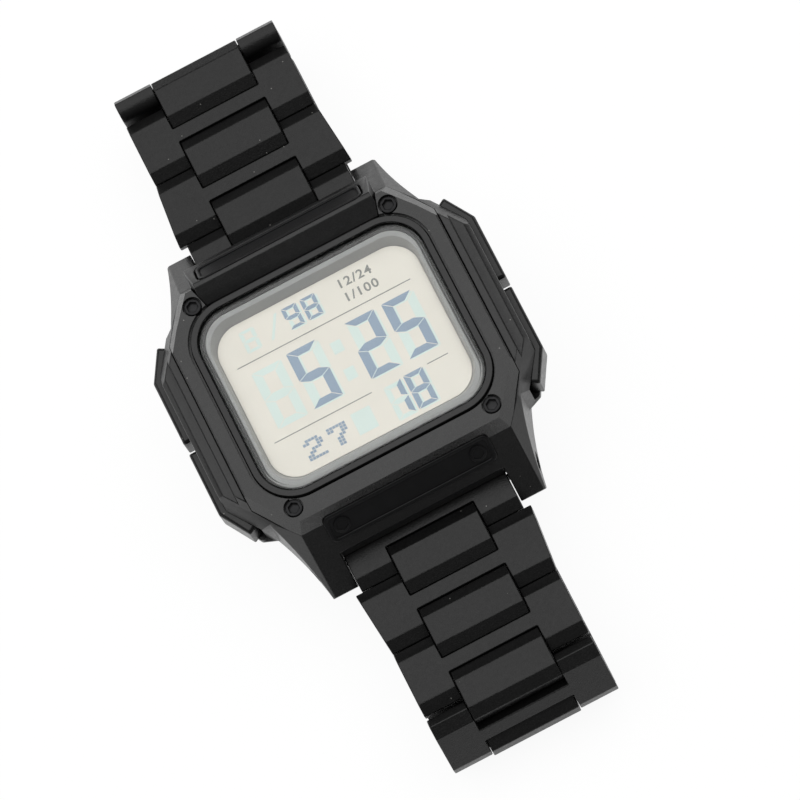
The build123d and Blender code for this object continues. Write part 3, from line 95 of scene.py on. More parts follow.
class Nodes:
    """Node tree with short calls that add and link its nodes."""

    def __init__(self, tree: bpy.types.NodeTree) -> None:
        """Takes over a tree and empties it."""
        self.tree = tree
        tree.nodes.clear()

    def feed(self, socket: Socket, value: object) -> None:
        """Gives a socket a value, or links it to a socket or a node's first output."""
        if isinstance(value, Node):
            value = value.outputs[0]
        if isinstance(value, Socket):
            self.tree.links.new(value, socket)
        else:
            socket.default_value = value

    def add(
        self, kind: str, *values: object, settings: dict | None = None, **named: object
    ) -> Node:
        """Adds a node.

        Args:
            kind: Blender's name of the node type.
            values: values, sockets or nodes for its first inputs, in their order.
            settings: properties of the node.
            named: the same for inputs by name, with spaces as underscores.

        Returns:
            The new node.
        """
        node = self.tree.nodes.new(kind)
        for name, value in (settings or {}).items():
            setattr(node, name, value)
        for socket, value in zip(node.inputs, values):
            self.feed(socket, value)
        for name, value in named.items():
            self.feed(node.inputs[name.replace("_", " ")], value)
        return node

    def combined(self, operation: str, first: object, second: object) -> Node:
        """Product, maximum or the like of two values."""
        return self.add("ShaderNodeMath", first, second, settings={"operation": operation})


class Recipe(Nodes):
    """Node tree of one material, with calls for what the finishes share."""

    def __init__(self, name: str) -> None:
        """Starts a material with its Object coordinates."""
        self.material = bpy.data.materials.new(name)
        self.material.use_nodes = True
        super().__init__(self.material.node_tree)
        self.place = self.add("ShaderNodeTexCoord").outputs["Object"]

    def noise(self, size: float, detail: float = 2.0, stretch: Triple = (1, 1, 1)) -> Node:
        """Noise from 0 to 1.

        Args:
            size: size of its blots in millimetres.
            detail: number of finer layers.
            stretch: factor on each axis of the pattern.

        Returns:
            The node, its value first.
        """
        place = self.add("ShaderNodeMapping", Vector=self.place, Scale=stretch)
        return self.add("ShaderNodeTexNoise", Vector=place, Scale=1 / (size * MM), Detail=detail)

    def span(
        self,
        value: object,
        low: float = 0.0,
        high: float = 1.0,
        start: float = 0.3,
        stop: float = 0.7,
    ) -> Node:
        """Value moved from the span start to stop onto the span low to high."""
        return self.add("ShaderNodeMapRange", value, start, stop, low, high)

    def mixed(self, share: object, first: object, second: object) -> Socket:
        """Blend of two tones or colour sockets by a share."""
        node = self.add("ShaderNodeMix", share, settings={"data_type": "RGBA"})
        for socket, value in zip(node.inputs[6:8], (first, second)):
            self.feed(socket, value if isinstance(value, Socket) else colour(value))
        return node.outputs[2]

    def specks(self, spacing: float, radius: float) -> Node:
        """Share that is 1 on scattered tiny specks, sizes in millimetres."""
        cells = self.add("ShaderNodeTexVoronoi", Vector=self.place, Scale=1 / (spacing * MM))
        edge = radius / spacing
        return self.span(cells, 1.0, 0.0, edge * 0.7, edge)

    def bump(self, height: object, depth: float) -> Node:
        """Relief of a depth in millimetres."""
        return self.add("ShaderNodeBump", Height=height, Distance=depth * MM, Strength=1.0)

    def principled(self, body: object, roughness: object, **more: object) -> Node:
        """Principled shader of a base colour and a roughness."""
        return self.add("ShaderNodeBsdfPrincipled", Base_Color=body, Roughness=roughness, **more)

    def finished(self, shader: object) -> bpy.types.Material:
        """Ends the tree with its shader and returns the material."""
        self.add("ShaderNodeOutputMaterial", shader)
        return self.material


@dataclass(frozen=True)
class Finish:
    """A named surface; each kind says how its shader is made."""

    name: str
    tone: Triple

    def shader(self, recipe: Recipe) -> Node:
        """Adds the shader to a recipe and returns it."""
        raise NotImplementedError


@dataclass(frozen=True)
class Moulded(Finish):
    """Moulded resin, rubber or plastic: fine grain, cloudy tone, a few specks of dust."""

    lift: float = 4.0
    roughness: float = 0.42
    roughness_spread: float = 0.04
    roughness_blot: float = 0.6
    gloss: float = 0.5
    grain: float = 0.14
    grain_depth: float = 0.012
    grain_lift: float = 18.0
    grain_share: float = 0.6
    cloud: float = 3.0
    dust: float = 0.5
    dust_spacing: float = 2.4
    dust_radius: float = 0.1
    dust_tone: Triple = (190, 188, 182)

    def shader(self, recipe: Recipe) -> Node:
        """Adds the shader to a recipe and returns it."""
        lighter = [value + self.lift for value in self.tone]
        lightest = [value + self.grain_lift for value in lighter]
        fine = recipe.noise(self.grain)
        body = recipe.mixed(recipe.span(recipe.noise(self.cloud, 3.0)), self.tone, lighter)
        body = recipe.mixed(recipe.span(fine, 0.0, self.grain_share, start=0.4), body, lightest)
        specks = recipe.specks(self.dust_spacing, self.dust_radius)
        body = recipe.mixed(recipe.combined("MULTIPLY", specks, self.dust), body, self.dust_tone)
        smooth, dull = (self.roughness + sign * self.roughness_spread for sign in (-1, 1))
        return recipe.principled(
            body,
            recipe.span(recipe.noise(self.roughness_blot, 3.0), smooth, dull),
            Specular_IOR_Level=self.gloss,
            Normal=recipe.bump(fine, self.grain_depth),
        )


@dataclass(frozen=True)
class Metal(Finish):
    """Plain or coated metal with brushed lines and faint wear."""

    roughness: float = 0.32
    smoother: float = 0.06
    rougher: float = 0.1
    brushed: Triple = (1.0, 30.0, 30.0)
    brush_size: float = 1.5
    brush_depth: float = 0.004
    brush_share: float = 0.35
    brush_shade: float = 0.7
    wear: float = 18.0
    wear_blot: float = 2.5
    metallic: float = 1.0

    def shader(self, recipe: Recipe) -> Node:
        """Adds the shader to a recipe and returns it."""
        lines = recipe.noise(self.brush_size, 3.0, self.brushed)
        worn = recipe.span(recipe.noise(self.wear_blot, 4.0), start=0.5, stop=0.75)
        body = recipe.mixed(worn, self.tone, [value + self.wear for value in self.tone])
        shade = [value * self.brush_shade for value in self.tone]
        return recipe.principled(
            recipe.mixed(recipe.span(lines, 0.0, self.brush_share), body, shade),
            recipe.span(lines, self.roughness - self.smoother, self.roughness + self.rougher),
            Metallic=self.metallic,
            Normal=recipe.bump(lines, self.brush_depth),
        )


@dataclass(frozen=True)
class ClearPane(Finish):
    """Clear crystal, which lets shadow rays through."""

    tone: Triple = (250, 251, 250)
    roughness: float = 0.02
    smear: float = 6.0
    index: float = 1.45

    def shader(self, recipe: Recipe) -> Node:
        """Adds the shader to a recipe and returns it."""
        smear = recipe.noise(self.smear, 3.0)
        glass = recipe.principled(
            colour(self.tone),
            recipe.span(smear, self.roughness * 0.5, self.roughness * 1.5),
            IOR=self.index,
            Transmission_Weight=1.0,
        )
        clear = recipe.add("ShaderNodeBsdfTransparent", colour(self.tone))
        shadow = recipe.add("ShaderNodeLightPath").outputs["Is Shadow Ray"]
        return recipe.add("ShaderNodeMixShader", shadow, glass, clear)


@dataclass(frozen=True)
class DisplayLayer(Finish):
    """A flat layer of the display: its polariser, its ink or its printed lines."""

    spread: float = 5.0
    roughness: float = 0.45
    roughness_spread: float = 0.05
    cloud: float = 5.0
    grain: float = 0.1
    grain_share: float = 0.25

    def shader(self, recipe: Recipe) -> Node:
        """Adds the shader to a recipe and returns it."""
        darker = [max(value - self.spread, 0) for value in self.tone]
        fine = recipe.noise(self.grain, 1.0)
        body = recipe.mixed(recipe.span(recipe.noise(self.cloud)), self.tone, darker)
        smooth, dull = (self.roughness + sign * self.roughness_spread for sign in (-1, 1))
        return recipe.principled(
            recipe.mixed(recipe.span(fine, 0.0, self.grain_share), body, darker),
            recipe.span(fine, smooth, dull),
        )


@dataclass(frozen=True)
class Board(Finish):
    """Circuit board: green lacquer over straight tracks."""

    tone: Triple = (28, 84, 52)
    track: Triple = (58, 128, 78)
    pitch: float = 0.9
    track_height: float = 0.02

    def shader(self, recipe: Recipe) -> Node:
        """Adds the shader to a recipe and returns it."""
        waves = recipe.add(
            "ShaderNodeTexWave",
            settings={"bands_direction": "X"},
            Vector=recipe.place,
            Scale=WAVE_PERIOD / (self.pitch * MM),
            Distortion=6.0,
            Detail=0.0,
        )
        share = recipe.span(waves.outputs["Fac"], start=0.55, stop=0.65)
        return recipe.principled(
            recipe.mixed(share, self.tone, self.track),
            recipe.span(recipe.noise(0.5), 0.3, 0.45),
            Normal=recipe.bump(share, self.track_height),
        )


CASE_RESIN = Moulded(
    "case_resin", (12, 12, 12), roughness=0.34, gloss=0.6, grain=0.16, grain_depth=0.024
)
BEZEL_RESIN = Moulded(
    "bezel_resin", (14, 14, 14), roughness=0.28, gloss=0.66, grain=0.16, grain_depth=0.02
)
RING_RESIN = Moulded("ring_resin", (14, 14, 14), roughness=0.24, grain_depth=0.003, dust=0.2)
BRACELET_RESIN = Moulded(
    "bracelet_resin", (12, 12, 12), roughness=0.36, gloss=0.42, grain=0.16, grain_depth=0.035
)
PUSHER_RESIN = Moulded("pusher_resin", (14, 14, 14), roughness=0.30, grain_depth=0.008)
GASKET_RUBBER = Moulded("gasket_rubber", (16, 16, 16), roughness=0.6, dust=0.1)
FRAME_PLASTIC = Moulded(
    "frame_plastic", (144, 144, 144), roughness=0.36, grain_depth=0.003, grain_lift=6, dust=0.1
)
HOLDER_PLASTIC = Moulded("holder_plastic", (97, 97, 97), roughness=0.45, grain_lift=8, dust=0)
GUIDE_PLASTIC = Moulded("guide_plastic", (226, 230, 228), roughness=0.3, grain_lift=6, dust=0)
CONTACT_RUBBER = Moulded("contact_rubber", (194, 194, 196), lift=8, roughness=0.55, dust=0)
SCREW_STEEL = Metal("screw_steel", (44, 44, 45), roughness=0.34, metallic=0.85, wear=10)
PLATE_METAL = Metal("plate_metal", (30, 30, 31), roughness=0.36, metallic=0.5, wear=6)
CLASP_METAL = Metal("clasp_metal", (46, 46, 48), roughness=0.30, metallic=0.9, wear=10)
BACK_STEEL = Metal("back_steel", (170, 170, 172), roughness=0.3)
CELL_STEEL = Metal("cell_steel", (190, 190, 190), roughness=0.22, wear=8)
CONTACT_BRASS = Metal("contact_brass", (196, 160, 86), roughness=0.28)
CRYSTAL_GLASS = ClearPane("crystal_glass")
DISPLAY_GLASS = DisplayLayer("display_glass", (236, 230, 220))
DISPLAY_INK = DisplayLayer("display_ink", (138, 158, 182))
# pale cyan of the unlit segments, which also serves as the painted shadow of the lit ones
DISPLAY_GHOST_AND_SHADOW = DisplayLayer("display_ghost_and_shadow", (219, 233, 228), spread=3)
DISPLAY_PRINT = DisplayLayer("display_print", (132, 132, 128), spread=3)
BOARD_LACQUER = Board("board_lacquer")


@cache
def material_of(finish: Finish) -> bpy.types.Material:
    """Material of a finish, built the first time that it is asked for."""
    recipe = Recipe(finish.name)
    return recipe.finished(finish.shader(recipe))


# Plans and loops

def rectangle(x0: float, y0: float, x1: float, y1: float) -> Plan:
    """Rectangle between two corners."""
    return [(x0, y0), (x1, y0), (x1, y1), (x0, y1)]


def shrunk(size: Point, inset: float) -> Point:
    """Size less an inset on every side."""
    return size[0] - 2 * inset, size[1] - 2 * inset


def rounded_plan(size: Point, corner: float, inset: float = 0.0, steps: int = 16) -> Plan:
    """Rectangle with round corners, moved inwards all round by an inset."""
    size, corner = shrunk(size, inset), max(corner - inset, 0.02)
    points = []
    for turn in range(4):
        x = (1 if turn in (0, 3) else -1) * (size[0] / 2 - corner)
        y = (1 if turn < 2 else -1) * (size[1] / 2 - corner)
        for step in range(steps + 1):
            angle = math.radians(90 * (turn + step / steps))
            points.append((x + corner * math.cos(angle), y + corner * math.sin(angle)))
    return points


def circle_plan(radius: float, sides: int = 48) -> Plan:
    """Circle about the origin."""
    turns = [2 * math.pi * index / sides for index in range(sides)]
    return [(radius * math.cos(turn), radius * math.sin(turn)) for turn in turns]


def hexagon_plan(flats: float, sides: int = 48) -> Plan:
    """Hexagon of a distance between flats, with as many points as a circle has."""
    sixth, points = math.pi / 3, []
    for index in range(sides):
        turn = 2 * math.pi * index / sides
        radius = flats / 2 / math.cos((turn + sixth / 2) % sixth - sixth / 2)
        points.append((radius * math.cos(turn), radius * math.sin(turn)))
    return points


def lift(plan: Iterable[Point], z: float) -> Loop:
    """Plan set at a height."""
    return [Vector((x, y, z)) for x, y in plan]


def stack(size: Point, corner: float, *steps: Point) -> list[Loop]:
    """Rounded rectangles over one another, each given by its inset and its height."""
    return [lift(rounded_plan(size, corner, inset), z) for inset, z in steps]


def edge_steps(z: float, radius: float) -> list[Point]:
    """Insets and heights that round the upper outer edge of a slab."""
    turns = [math.radians(angle) for angle in (0.0, 30.0, 60.0, 90.0)]
    return [(radius * (1 - math.cos(t)), z - radius * (1 - math.sin(t))) for t in turns]


def lip_steps(z: float, edge: float) -> list[Point]:
    """Insets and heights that break the upper edge of a hole."""
    return [(-edge, z), (-0.3 * edge, z - 0.3 * edge), (0.0, z - edge)]


def signed_area(plan: Sequence[Point]) -> float:
    """Twice the area of a plan, above 0 where it turns left."""
    return sum(a[0] * b[1] - b[0] * a[1] for a, b in zip(plan, [*plan[1:], plan[0]]))


def inset_polygon(plan: Plan, distance: float) -> Plan:
    """Moves every edge of a convex polygon inwards."""
    ring = plan if signed_area(plan) > 0 else plan[::-1]
    lines = []
    for a, b in zip(ring, [*ring[1:], ring[0]]):
        run = Vector((b[0] - a[0], b[1] - a[1])).normalized()
        lines.append((Vector(a) + Vector((-run.y, run.x)) * distance, run))
    moved = []
    for (start, run), (after, other) in zip([lines[-1], *lines[:-1]], lines):
        gap = after - start
        reach = (gap.x * other.y - gap.y * other.x) / (run.x * other.y - run.y * other.x)
        moved.append(tuple(start + run * reach))
    return moved


# Meshes

def new_object(name: str, data: bpy.types.ID) -> Piece:
    """Links an object for a mesh or other data at the origin."""
    piece = bpy.data.objects.new(name, data)
    bpy.context.scene.collection.objects.link(piece)
    return piece


def from_bmesh(name: str, work: bmesh.types.BMesh, scale: float = MM) -> Piece:
    """Object from a bmesh, which is in millimetres unless a scale says otherwise."""
    bmesh.ops.scale(work, vec=(scale, scale, scale), verts=work.verts)
    mesh = bpy.data.meshes.new(name)
    work.to_mesh(mesh)
    work.free()
    return new_object(name, mesh)


@contextmanager
def editing(piece: Piece) -> Iterator[bmesh.types.BMesh]:
    """Lends the mesh of a piece as a bmesh and writes it back."""
    work = bmesh.new()
    work.from_mesh(piece.data)
    yield work
    work.to_mesh(piece.data)
    work.free()


def loft(name: str, loops: Sequence[Loop], closed: bool = False) -> Piece:
    """Skin through loops of points.

    Args:
        name: name of the object.
        loops: loops in order, each with the same number of points, in millimetres.
        closed: whether the last loop joins the first one, or else both ends are filled.

    Returns:
        The new object.
    """
    work = bmesh.new()
    rows = [[work.verts.new(point) for point in loop] for loop in loops]
    pairs = list(zip(rows, rows[1:]))
    if closed:
        pairs.append((rows[-1], rows[0]))
    for lower, upper in pairs:
        for index in range(len(lower)):
            after = (index + 1) % len(lower)
            work.faces.new((lower[index], lower[after], upper[after], upper[index]))
    if not closed:
        work.faces.new(rows[0][::-1])
        work.faces.new(rows[-1])
    bmesh.ops.remove_doubles(work, verts=work.verts, dist=LOFT_MERGE)
    bmesh.ops.recalc_face_normals(work, faces=work.faces)
    return from_bmesh(name, work)


def prism(name: str, plan: Plan, low: float, high: float) -> Piece:
    """Upright prism on a plan."""
    return loft(name, [lift(plan, z) for z in (low, high)])


def side_prism(name: str, profile: Plan, half: float) -> Piece:
    """Prism along X on a side view given as (y, z), centred on the middle plane."""
    return loft(name, [[Vector((x, y, z)) for y, z in profile] for x in (-half, half)])


def flat_piece(name: str, shapes: Iterable[Plan], z: float) -> Piece:
    """Thin layer of flat shapes that face up."""
    work = bmesh.new()
    for shape in shapes:
        ring = shape if signed_area(shape) > 0 else shape[::-1]
        work.faces.new([work.verts.new(point) for point in lift(ring, z)])
    return from_bmesh(name, work)


def place_mesh(piece: Piece, matrix: Matrix) -> Piece:
    """Moves a piece by its mesh, the matrix in millimetres."""
    moved = matrix.copy()
    moved.translation = matrix.translation * MM
    piece.data.transform(moved)
    return piece


def bake(piece: Piece) -> Piece:
    """Applies every modifier of a piece to its mesh."""
    graph = bpy.context.evaluated_depsgraph_get()
    mesh = bpy.data.meshes.new_from_object(piece.evaluated_get(graph), depsgraph=graph)
    piece.modifiers.clear()
    piece.data = mesh
    return piece


def discard(piece: Piece) -> None:
    """Removes a piece that was only used to make another one."""
    bpy.data.objects.remove(piece)


def cut(piece: Piece, *tools: Piece) -> Piece:
    """Cuts tools out of a piece and discards them."""
    for tool in tools:
        boolean = piece.modifiers.new("cut", "BOOLEAN")
        boolean.operation, boolean.solver, boolean.object = "DIFFERENCE", "EXACT", tool
        bake(piece)
        discard(tool)
    return piece


def slice_off(piece: Piece, point: Vector, normal: Vector) -> None:
    """Cuts off what lies on the side of a plane that its normal points to."""
    with editing(piece) as work:
        bmesh.ops.bisect_plane(
            work,
            geom=[*work.verts, *work.edges, *work.faces],
            plane_co=point * MM,
            plane_no=normal,
            clear_outer=True,
            dist=SLICE_MERGE,
        )
        rim = [edge for edge in work.edges if edge.is_boundary]
        if rim:
            bmesh.ops.contextual_create(work, geom=rim)
        bmesh.ops.recalc_face_normals(work, faces=work.faces)


def shade(piece: Piece, angle: float = SHADE_BEND) -> Piece:
    """Shades a piece smooth but for edges sharper than an angle."""
    piece.data.shade_smooth()
    piece.data.set_sharp_from_angle(angle=math.radians(angle))
    return piece


def weigh_roomy_edges(work: bmesh.types.BMesh, room: float, bend: float) -> None:
    """Marks for rounding each edge over a bend whose neighbours are longer than a room."""
    weight = work.edges.layers.float.new("bevel_weight_edge")
    for edge in work.edges:
        if len(edge.link_faces) != 2 or edge.calc_face_angle(0.0) < bend:
            continue
        ends = {other for vertex in edge.verts for other in vertex.link_edges}
        if min(other.calc_length() for other in ends) > room:
            edge[weight] = 1.0


def merge(work: bmesh.types.BMesh) -> None:
    """Joins the loose triangles of a mesh."""
    bmesh.ops.remove_doubles(work, verts=work.verts, dist=MESH_MERGE)


def soften(piece: Piece, width: float, roomy: bool = False) -> Piece:
    """Rounds the edges of a piece and shades it smooth between them.

    Args:
        piece: the piece to finish.
        width: width of the rounding in millimetres.
        roomy: whether edges without room for it stay sharp; else the width gives way.

    Returns:
        The same piece.
    """
    flat, bend = math.radians(FLAT_BEND), math.radians(EDGE_BEND)
    with editing(piece) as work:
        merge(work)
        bmesh.ops.dissolve_limit(work, angle_limit=flat, verts=work.verts, edges=work.edges)
        if roomy:
            weigh_roomy_edges(work, ROOM_PER_WIDTH * width * MM, bend)
    shade(piece)
    bevel = piece.modifiers.new("edges", "BEVEL")
    bevel.width, bevel.segments = width * MM, EDGE_STRIPS
    bevel.limit_method, bevel.angle_limit = "WEIGHT" if roomy else "ANGLE", bend
    bevel.use_clamp_overlap = not roomy
    bevel.harden_normals = True
    bevel.miter_outer = "MITER_SHARP" if roomy else "MITER_ARC"
    return bake(piece)


def paint(piece: Piece, finish: Finish) -> Piece:
    """Gives a piece the material of a finish."""
    piece.data.materials.clear()
    piece.data.materials.append(material_of(finish))
    return piece


def hand_in(piece: Piece, body: str, slot: str, *nodes: str) -> None:
    """Parents a piece to the empty of the body that it rides on and hides the nodes that it stands
    for.
    """
    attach(piece, body)
    if nodes:
        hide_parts(*nodes)
    log.info("%s rides on %s", piece.name, body)


# Geometry Nodes

class Pattern(Nodes):
    """Geometry Nodes tree with named sizes that ends in real geometry with its materials."""

    def __init__(self, name: str, **kinds: str) -> None:
        """Starts a tree.

        Args:
            name: name of the tree.
            kinds: kind of each input by its name, with spaces as underscores.
        """
        super().__init__(bpy.data.node_groups.new(name, "GeometryNodeTree"))
        create = self.tree.interface.new_socket
        create("Geometry", in_out="OUTPUT", socket_type="NodeSocketGeometry")
        self.identifiers = {
            key: create(
                key.replace("_", " "), in_out="INPUT", socket_type=f"NodeSocket{kind}"
            ).identifier
            for key, kind in kinds.items()
        }
        self.sources = self.add("NodeGroupInput").outputs

    def size(self, name: str) -> Socket:
        """Socket of a named input."""
        return self.sources[name]

    def shape_of(self, name: str) -> Socket:
        """Geometry of the object that a named input holds."""
        return self.add("GeometryNodeObjectInfo", self.size(name)).outputs["Geometry"]

    def repeated(self, points: object, shape: object, **more: object) -> Node:
        """One shape on every point."""
        return self.add("GeometryNodeInstanceOnPoints", Points=points, Instance=shape, **more)

    def dressed(self, geometry: object, finish: str) -> Node:
        """Real geometry with the material that a named input holds."""
        real = self.add("GeometryNodeRealizeInstances", geometry)
        return self.add("GeometryNodeSetMaterial", real, Material=self.size(finish))

    def moved(self, geometry: object, place: str, tilt: str) -> Node:
        """Geometry turned about X and moved, by the two named inputs."""
        turn = self.add("ShaderNodeCombineXYZ", self.size(tilt))
        return self.add(
            "GeometryNodeTransform", geometry, Translation=self.size(place), Rotation=turn
        )

    def closed(self, geometry: object) -> "Pattern":
        """Ends the tree with its result."""
        self.add("NodeGroupOutput", geometry)
        return self

    def make(self, name: str, **values: object) -> Piece:
        """Runs the tree on a new object.

        Args:
            name: name of the object.
            values: every named input, with spaces as underscores.

        Returns:
            The object as a plain mesh.
        """
        piece = new_object(name, bpy.data.meshes.new(name))
        modifier = piece.modifiers.new("pattern", "NODES")
        modifier.node_group = self.tree
        for key, value in values.items():
            modifier[self.identifiers[key]] = value
        return bake(piece)


def rows_pattern() -> Pattern:
    """Tree that repeats one fastener on a grid, tilted and moved as a whole."""
    rows = Pattern(
        "fastener_rows",
        Fastener="Object",
        Columns="Int",
        Rows="Int",
        Spread_X="Float",
        Spread_Y="Float",
        Centre="Vector",
        Tilt="Float",
        Finish="Material",
    )
    sizes = [rows.size(name) for name in ("Spread X", "Spread Y", "Columns", "Rows")]
    grid = rows.add("GeometryNodeMeshGrid", *sizes)
    fasteners = rows.moved(rows.repeated(grid, rows.shape_of("Fastener")), "Centre", "Tilt")
    return rows.closed(rows.dressed(fasteners, "Finish"))


def link_pattern() -> Pattern:
    """Tree that sets one link in the bracelet: its body, and its two pins where it has them."""
    links = Pattern(
        "bracelet_link",
        Link="Object",
        Pin_pitch="Float",
        Pin_radius="Float",
        Pin_length="Float",
        Pins="Int",
        Place="Vector",
        Bend="Float",
        Finish="Material",
        Pin_finish="Material",
    )
    body = links.dressed(links.shape_of("Link"), "Finish")
    pin = links.add(
        "GeometryNodeMeshCylinder",
        Vertices=24,
        Radius=links.size("Pin radius"),
        Depth=links.size("Pin length"),
    )
    step = links.add("ShaderNodeCombineXYZ", Y=links.size("Pin pitch"))
    line = links.add("GeometryNodeMeshLine", Count=links.size("Pins"), Offset=step)
    pins = links.repeated(line, pin, Rotation=(0.0, math.pi / 2, 0.0))
    joined = links.add("GeometryNodeJoinGeometry", links.dressed(pins, "Pin finish"))
    links.feed(joined.inputs[0], body)
    return links.closed(links.moved(joined, "Place", "Bend"))


def dots_pattern() -> Pattern:
    """Tree that sets one flat dot on every point of a mesh."""
    dots = Pattern(
        "matrix_dots", Lit="Object", Dot_width="Float", Dot_height="Float", Finish="Material"
    )
    dot = dots.add(
        "GeometryNodeMeshGrid", dots.size("Dot width"), dots.size("Dot height"), 2, 2
    )
    return dots.closed(dots.dressed(dots.repeated(dots.shape_of("Lit"), dot), "Finish"))


# Case

FACE_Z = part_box("crystal_ring")[1].z / MM
RING_FOOT_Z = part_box("crystal_ring")[0].z / MM
CASE_TOP_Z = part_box("bezel")[0].z / MM
GLASS_TOP_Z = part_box("lcd_glass")[1].z / MM
SIDES = (1, -1)


@dataclass
class Slopes:
    """The inclined planes of the case, which bezel and plates share."""

    face_end_y: float = 17.8
    facet_run: float = 1.1
    angle: float = 46.5
    rim_y: float = 18.05
    rim_z: float = FACE_Z + 1.1
    face_side: Point = (19.7, 11.0)
    face_end: Point = (15.1, 17.8)
    diagonal_angle: float = 61.5
    terrace: Triple = (20.85, 10.8, FACE_Z - 0.9)
    lug_x: float = 15.4
    lug_end_y: float = 26.2

    def tilt(self) -> float:
        """Angle of the long slope in radians."""
        return math.radians(self.angle)

    def foot_y(self) -> float:
        """Where the facet at the end of the face meets the long slope."""
        return self.face_end_y + self.facet_run

    def slope_z(self, y: float) -> float:
        """Height of the long slope."""
        return CASE_TOP_Z - (y - self.foot_y()) * math.tan(self.tilt())

    def corner_run(self) -> Vector:
        """Plan of the face's diagonal edge, both parts positive."""
        return Vector((self.face_side[0] - self.face_end[0], self.face_end[1] - self.face_side[1]))

    def diagonal(self, side_x: int, side_y: int) -> tuple[Vector, Vector]:
        """Point and normal of the bezel's sloping diagonal edge at one corner."""
        run = self.corner_run()
        rise = run.length / math.tan(math.radians(self.diagonal_angle))
        point = Vector((side_x * self.face_side[0], side_y * self.face_side[1], FACE_Z))
        return point, Vector((side_x * run.y, side_y * run.x, rise))

    def lug_facet(self, side_x: int, side_y: int) -> tuple[Vector, Vector]:
        """Point and normal of the long facet that runs from the terraces to a lug."""
        terrace = Vector(self.terrace)
        foot = Vector((self.lug_x, self.foot_y(), CASE_TOP_Z))
        tip = Vector((self.lug_x, self.lug_end_y, self.slope_z(self.lug_end_y)))
        normal = (foot - terrace).cross(tip - terrace)
        if normal.z < 0:
            normal.negate()
        turn = Vector((side_x, side_y, 1))
        return terrace * turn, normal * turn


@dataclass
class Window:
    """Ring, crystal and display frame, one inside the other."""

    ring_size: Point = (34.9, 29.7)
    ring_corner: float = 6.0
    ring_width: float = 0.95
    ring_edge: float = 0.14
    crystal_gap: float = 0.2
    crystal_sink: float = 0.15
    crystal_thickness: float = 1.2
    crystal_bevel: float = 0.42
    crystal_foot: float = 0.05
    crystal_lip: Point = (0.05, 0.03)
    gasket_width: float = 0.75
    shell_gap: float = 0.1
    frame_wall: Point = (0.5, 0.75)
    frame_taper: Point = (0.6, 1.2)
    frame_height: float = 3.05
    frame_corner: float = 4.0
    frame_edge: float = 0.1
    frame_foot: float = 0.04
    layer_gap: float = 0.05

    def inner(self, gap: float) -> tuple[Point, float]:
        """Size and corner of the ring's hole, less a gap all round."""
        inset = self.ring_width + gap
        return shrunk(self.ring_size, inset), self.ring_corner - inset

    def ring(self) -> Piece:
        """Raised ring with softly rounded edges."""
        foot, edge = (0.0, RING_FOOT_Z), edge_steps(FACE_Z, self.ring_edge)
        mirrored = [(-inset, z) for inset, z in reversed(edge)]
        outside = stack(self.ring_size, self.ring_corner, foot, *edge)
        loops = outside + stack(*self.inner(0.0), *mirrored, foot)
        return shade(loft("window_ring", loops, closed=True), angle=60)

    def crystal(self) -> Piece:
        """Flat crystal with a bevelled edge."""
        top, bevel, foot = FACE_Z - self.crystal_sink, self.crystal_bevel, self.crystal_foot
        low = top - self.crystal_thickness
        lip, drop = self.crystal_lip
        upper = [(0.0, top - bevel), (bevel - lip, top - drop), (bevel, top)]
        steps = [(foot, low), (0.0, low + foot), *upper]
        return shade(loft("crystal_pane", stack(*self.inner(self.crystal_gap), *steps)), angle=20)

    def frame_top(self) -> float:
        """Height of the upper face of the display frame."""
        return FACE_Z - self.crystal_sink - self.crystal_thickness - self.layer_gap

    def frame_body(self) -> tuple[Point, float]:
        """Outer size and corner of the display frame."""
        return self.inner(self.gasket_width + self.shell_gap)

    def hole_at(self, z: float) -> tuple[Point, float]:
        """Size and corner of the frame's tapering hole at a height."""
        share = (self.frame_top() - z) / self.frame_height
        mouth = [wide - 2 * wall for wide, wall in zip(self.frame_body()[0], self.frame_wall)]
        size = tuple(wide - 2 * share * taper for wide, taper in zip(mouth, self.frame_taper))
        return size, self.frame_corner

    def display_frame(self) -> Piece:
        """Deep frame with walls that taper towards the display."""
        top, edge, foot = self.frame_top(), self.frame_edge, self.frame_foot
        low = top - self.frame_height
        loops = [
            *stack(*self.frame_body(), (0.0, low), *edge_steps(top, edge)),
            *stack(*self.hole_at(top), *lip_steps(top, edge)),
            *stack(*self.hole_at(low), (0.0, low + foot), (-foot, low)),
        ]
        return shade(loft("display_surround", loops, closed=True), angle=35)

    def build(self) -> None:
        """Makes and hands in the three pieces."""
        hand_in(paint(self.ring(), RING_RESIN), "case", "bezel_resin", "crystal_ring")
        hand_in(paint(self.crystal(), CRYSTAL_GLASS), "case", "crystal", "crystal")
        frame_piece = paint(self.display_frame(), FRAME_PLASTIC)
        hand_in(frame_piece, "case", "frame_plastic", "display_frame")


@dataclass(frozen=True)
class SocketHead:
    """Round fastener head with a six-sided hole; rim and lip as pairs of inset and drop."""

    radius: float
    foot: float
    top: float
    rim: tuple[Point, ...]
    flats: float
    lip: Point
    depth: float

    def mesh(self) -> Piece:
        """One head about the origin."""
        outside = [(self.radius - inset, self.top - drop) for inset, drop in self.rim]
        wider, drop = self.lip
        hole = ((self.flats + wider, 0.0), (self.flats, drop), (self.flats, self.depth))
        loops = [lift(circle_plan(r), z) for r, z in [(self.radius, self.foot), *outside]]
        loops += [lift(hexagon_plan(flats), self.top - drop) for flats, drop in hole]
        return shade(loft("head", loops), angle=35)

    def row(self, rows: Pattern, name: str, finish: Finish, **sizes: object) -> Piece:
        """Several heads as one piece.

        Args:
            rows: the tree that repeats them.
            name: name of the piece.
            finish: their finish.
            sizes: the other inputs of the tree.

        Returns:
            The baked piece.
        """
        head = self.mesh()
        piece = rows.make(name, Fastener=head, Finish=material_of(finish), **sizes)
        discard(head)
        return piece


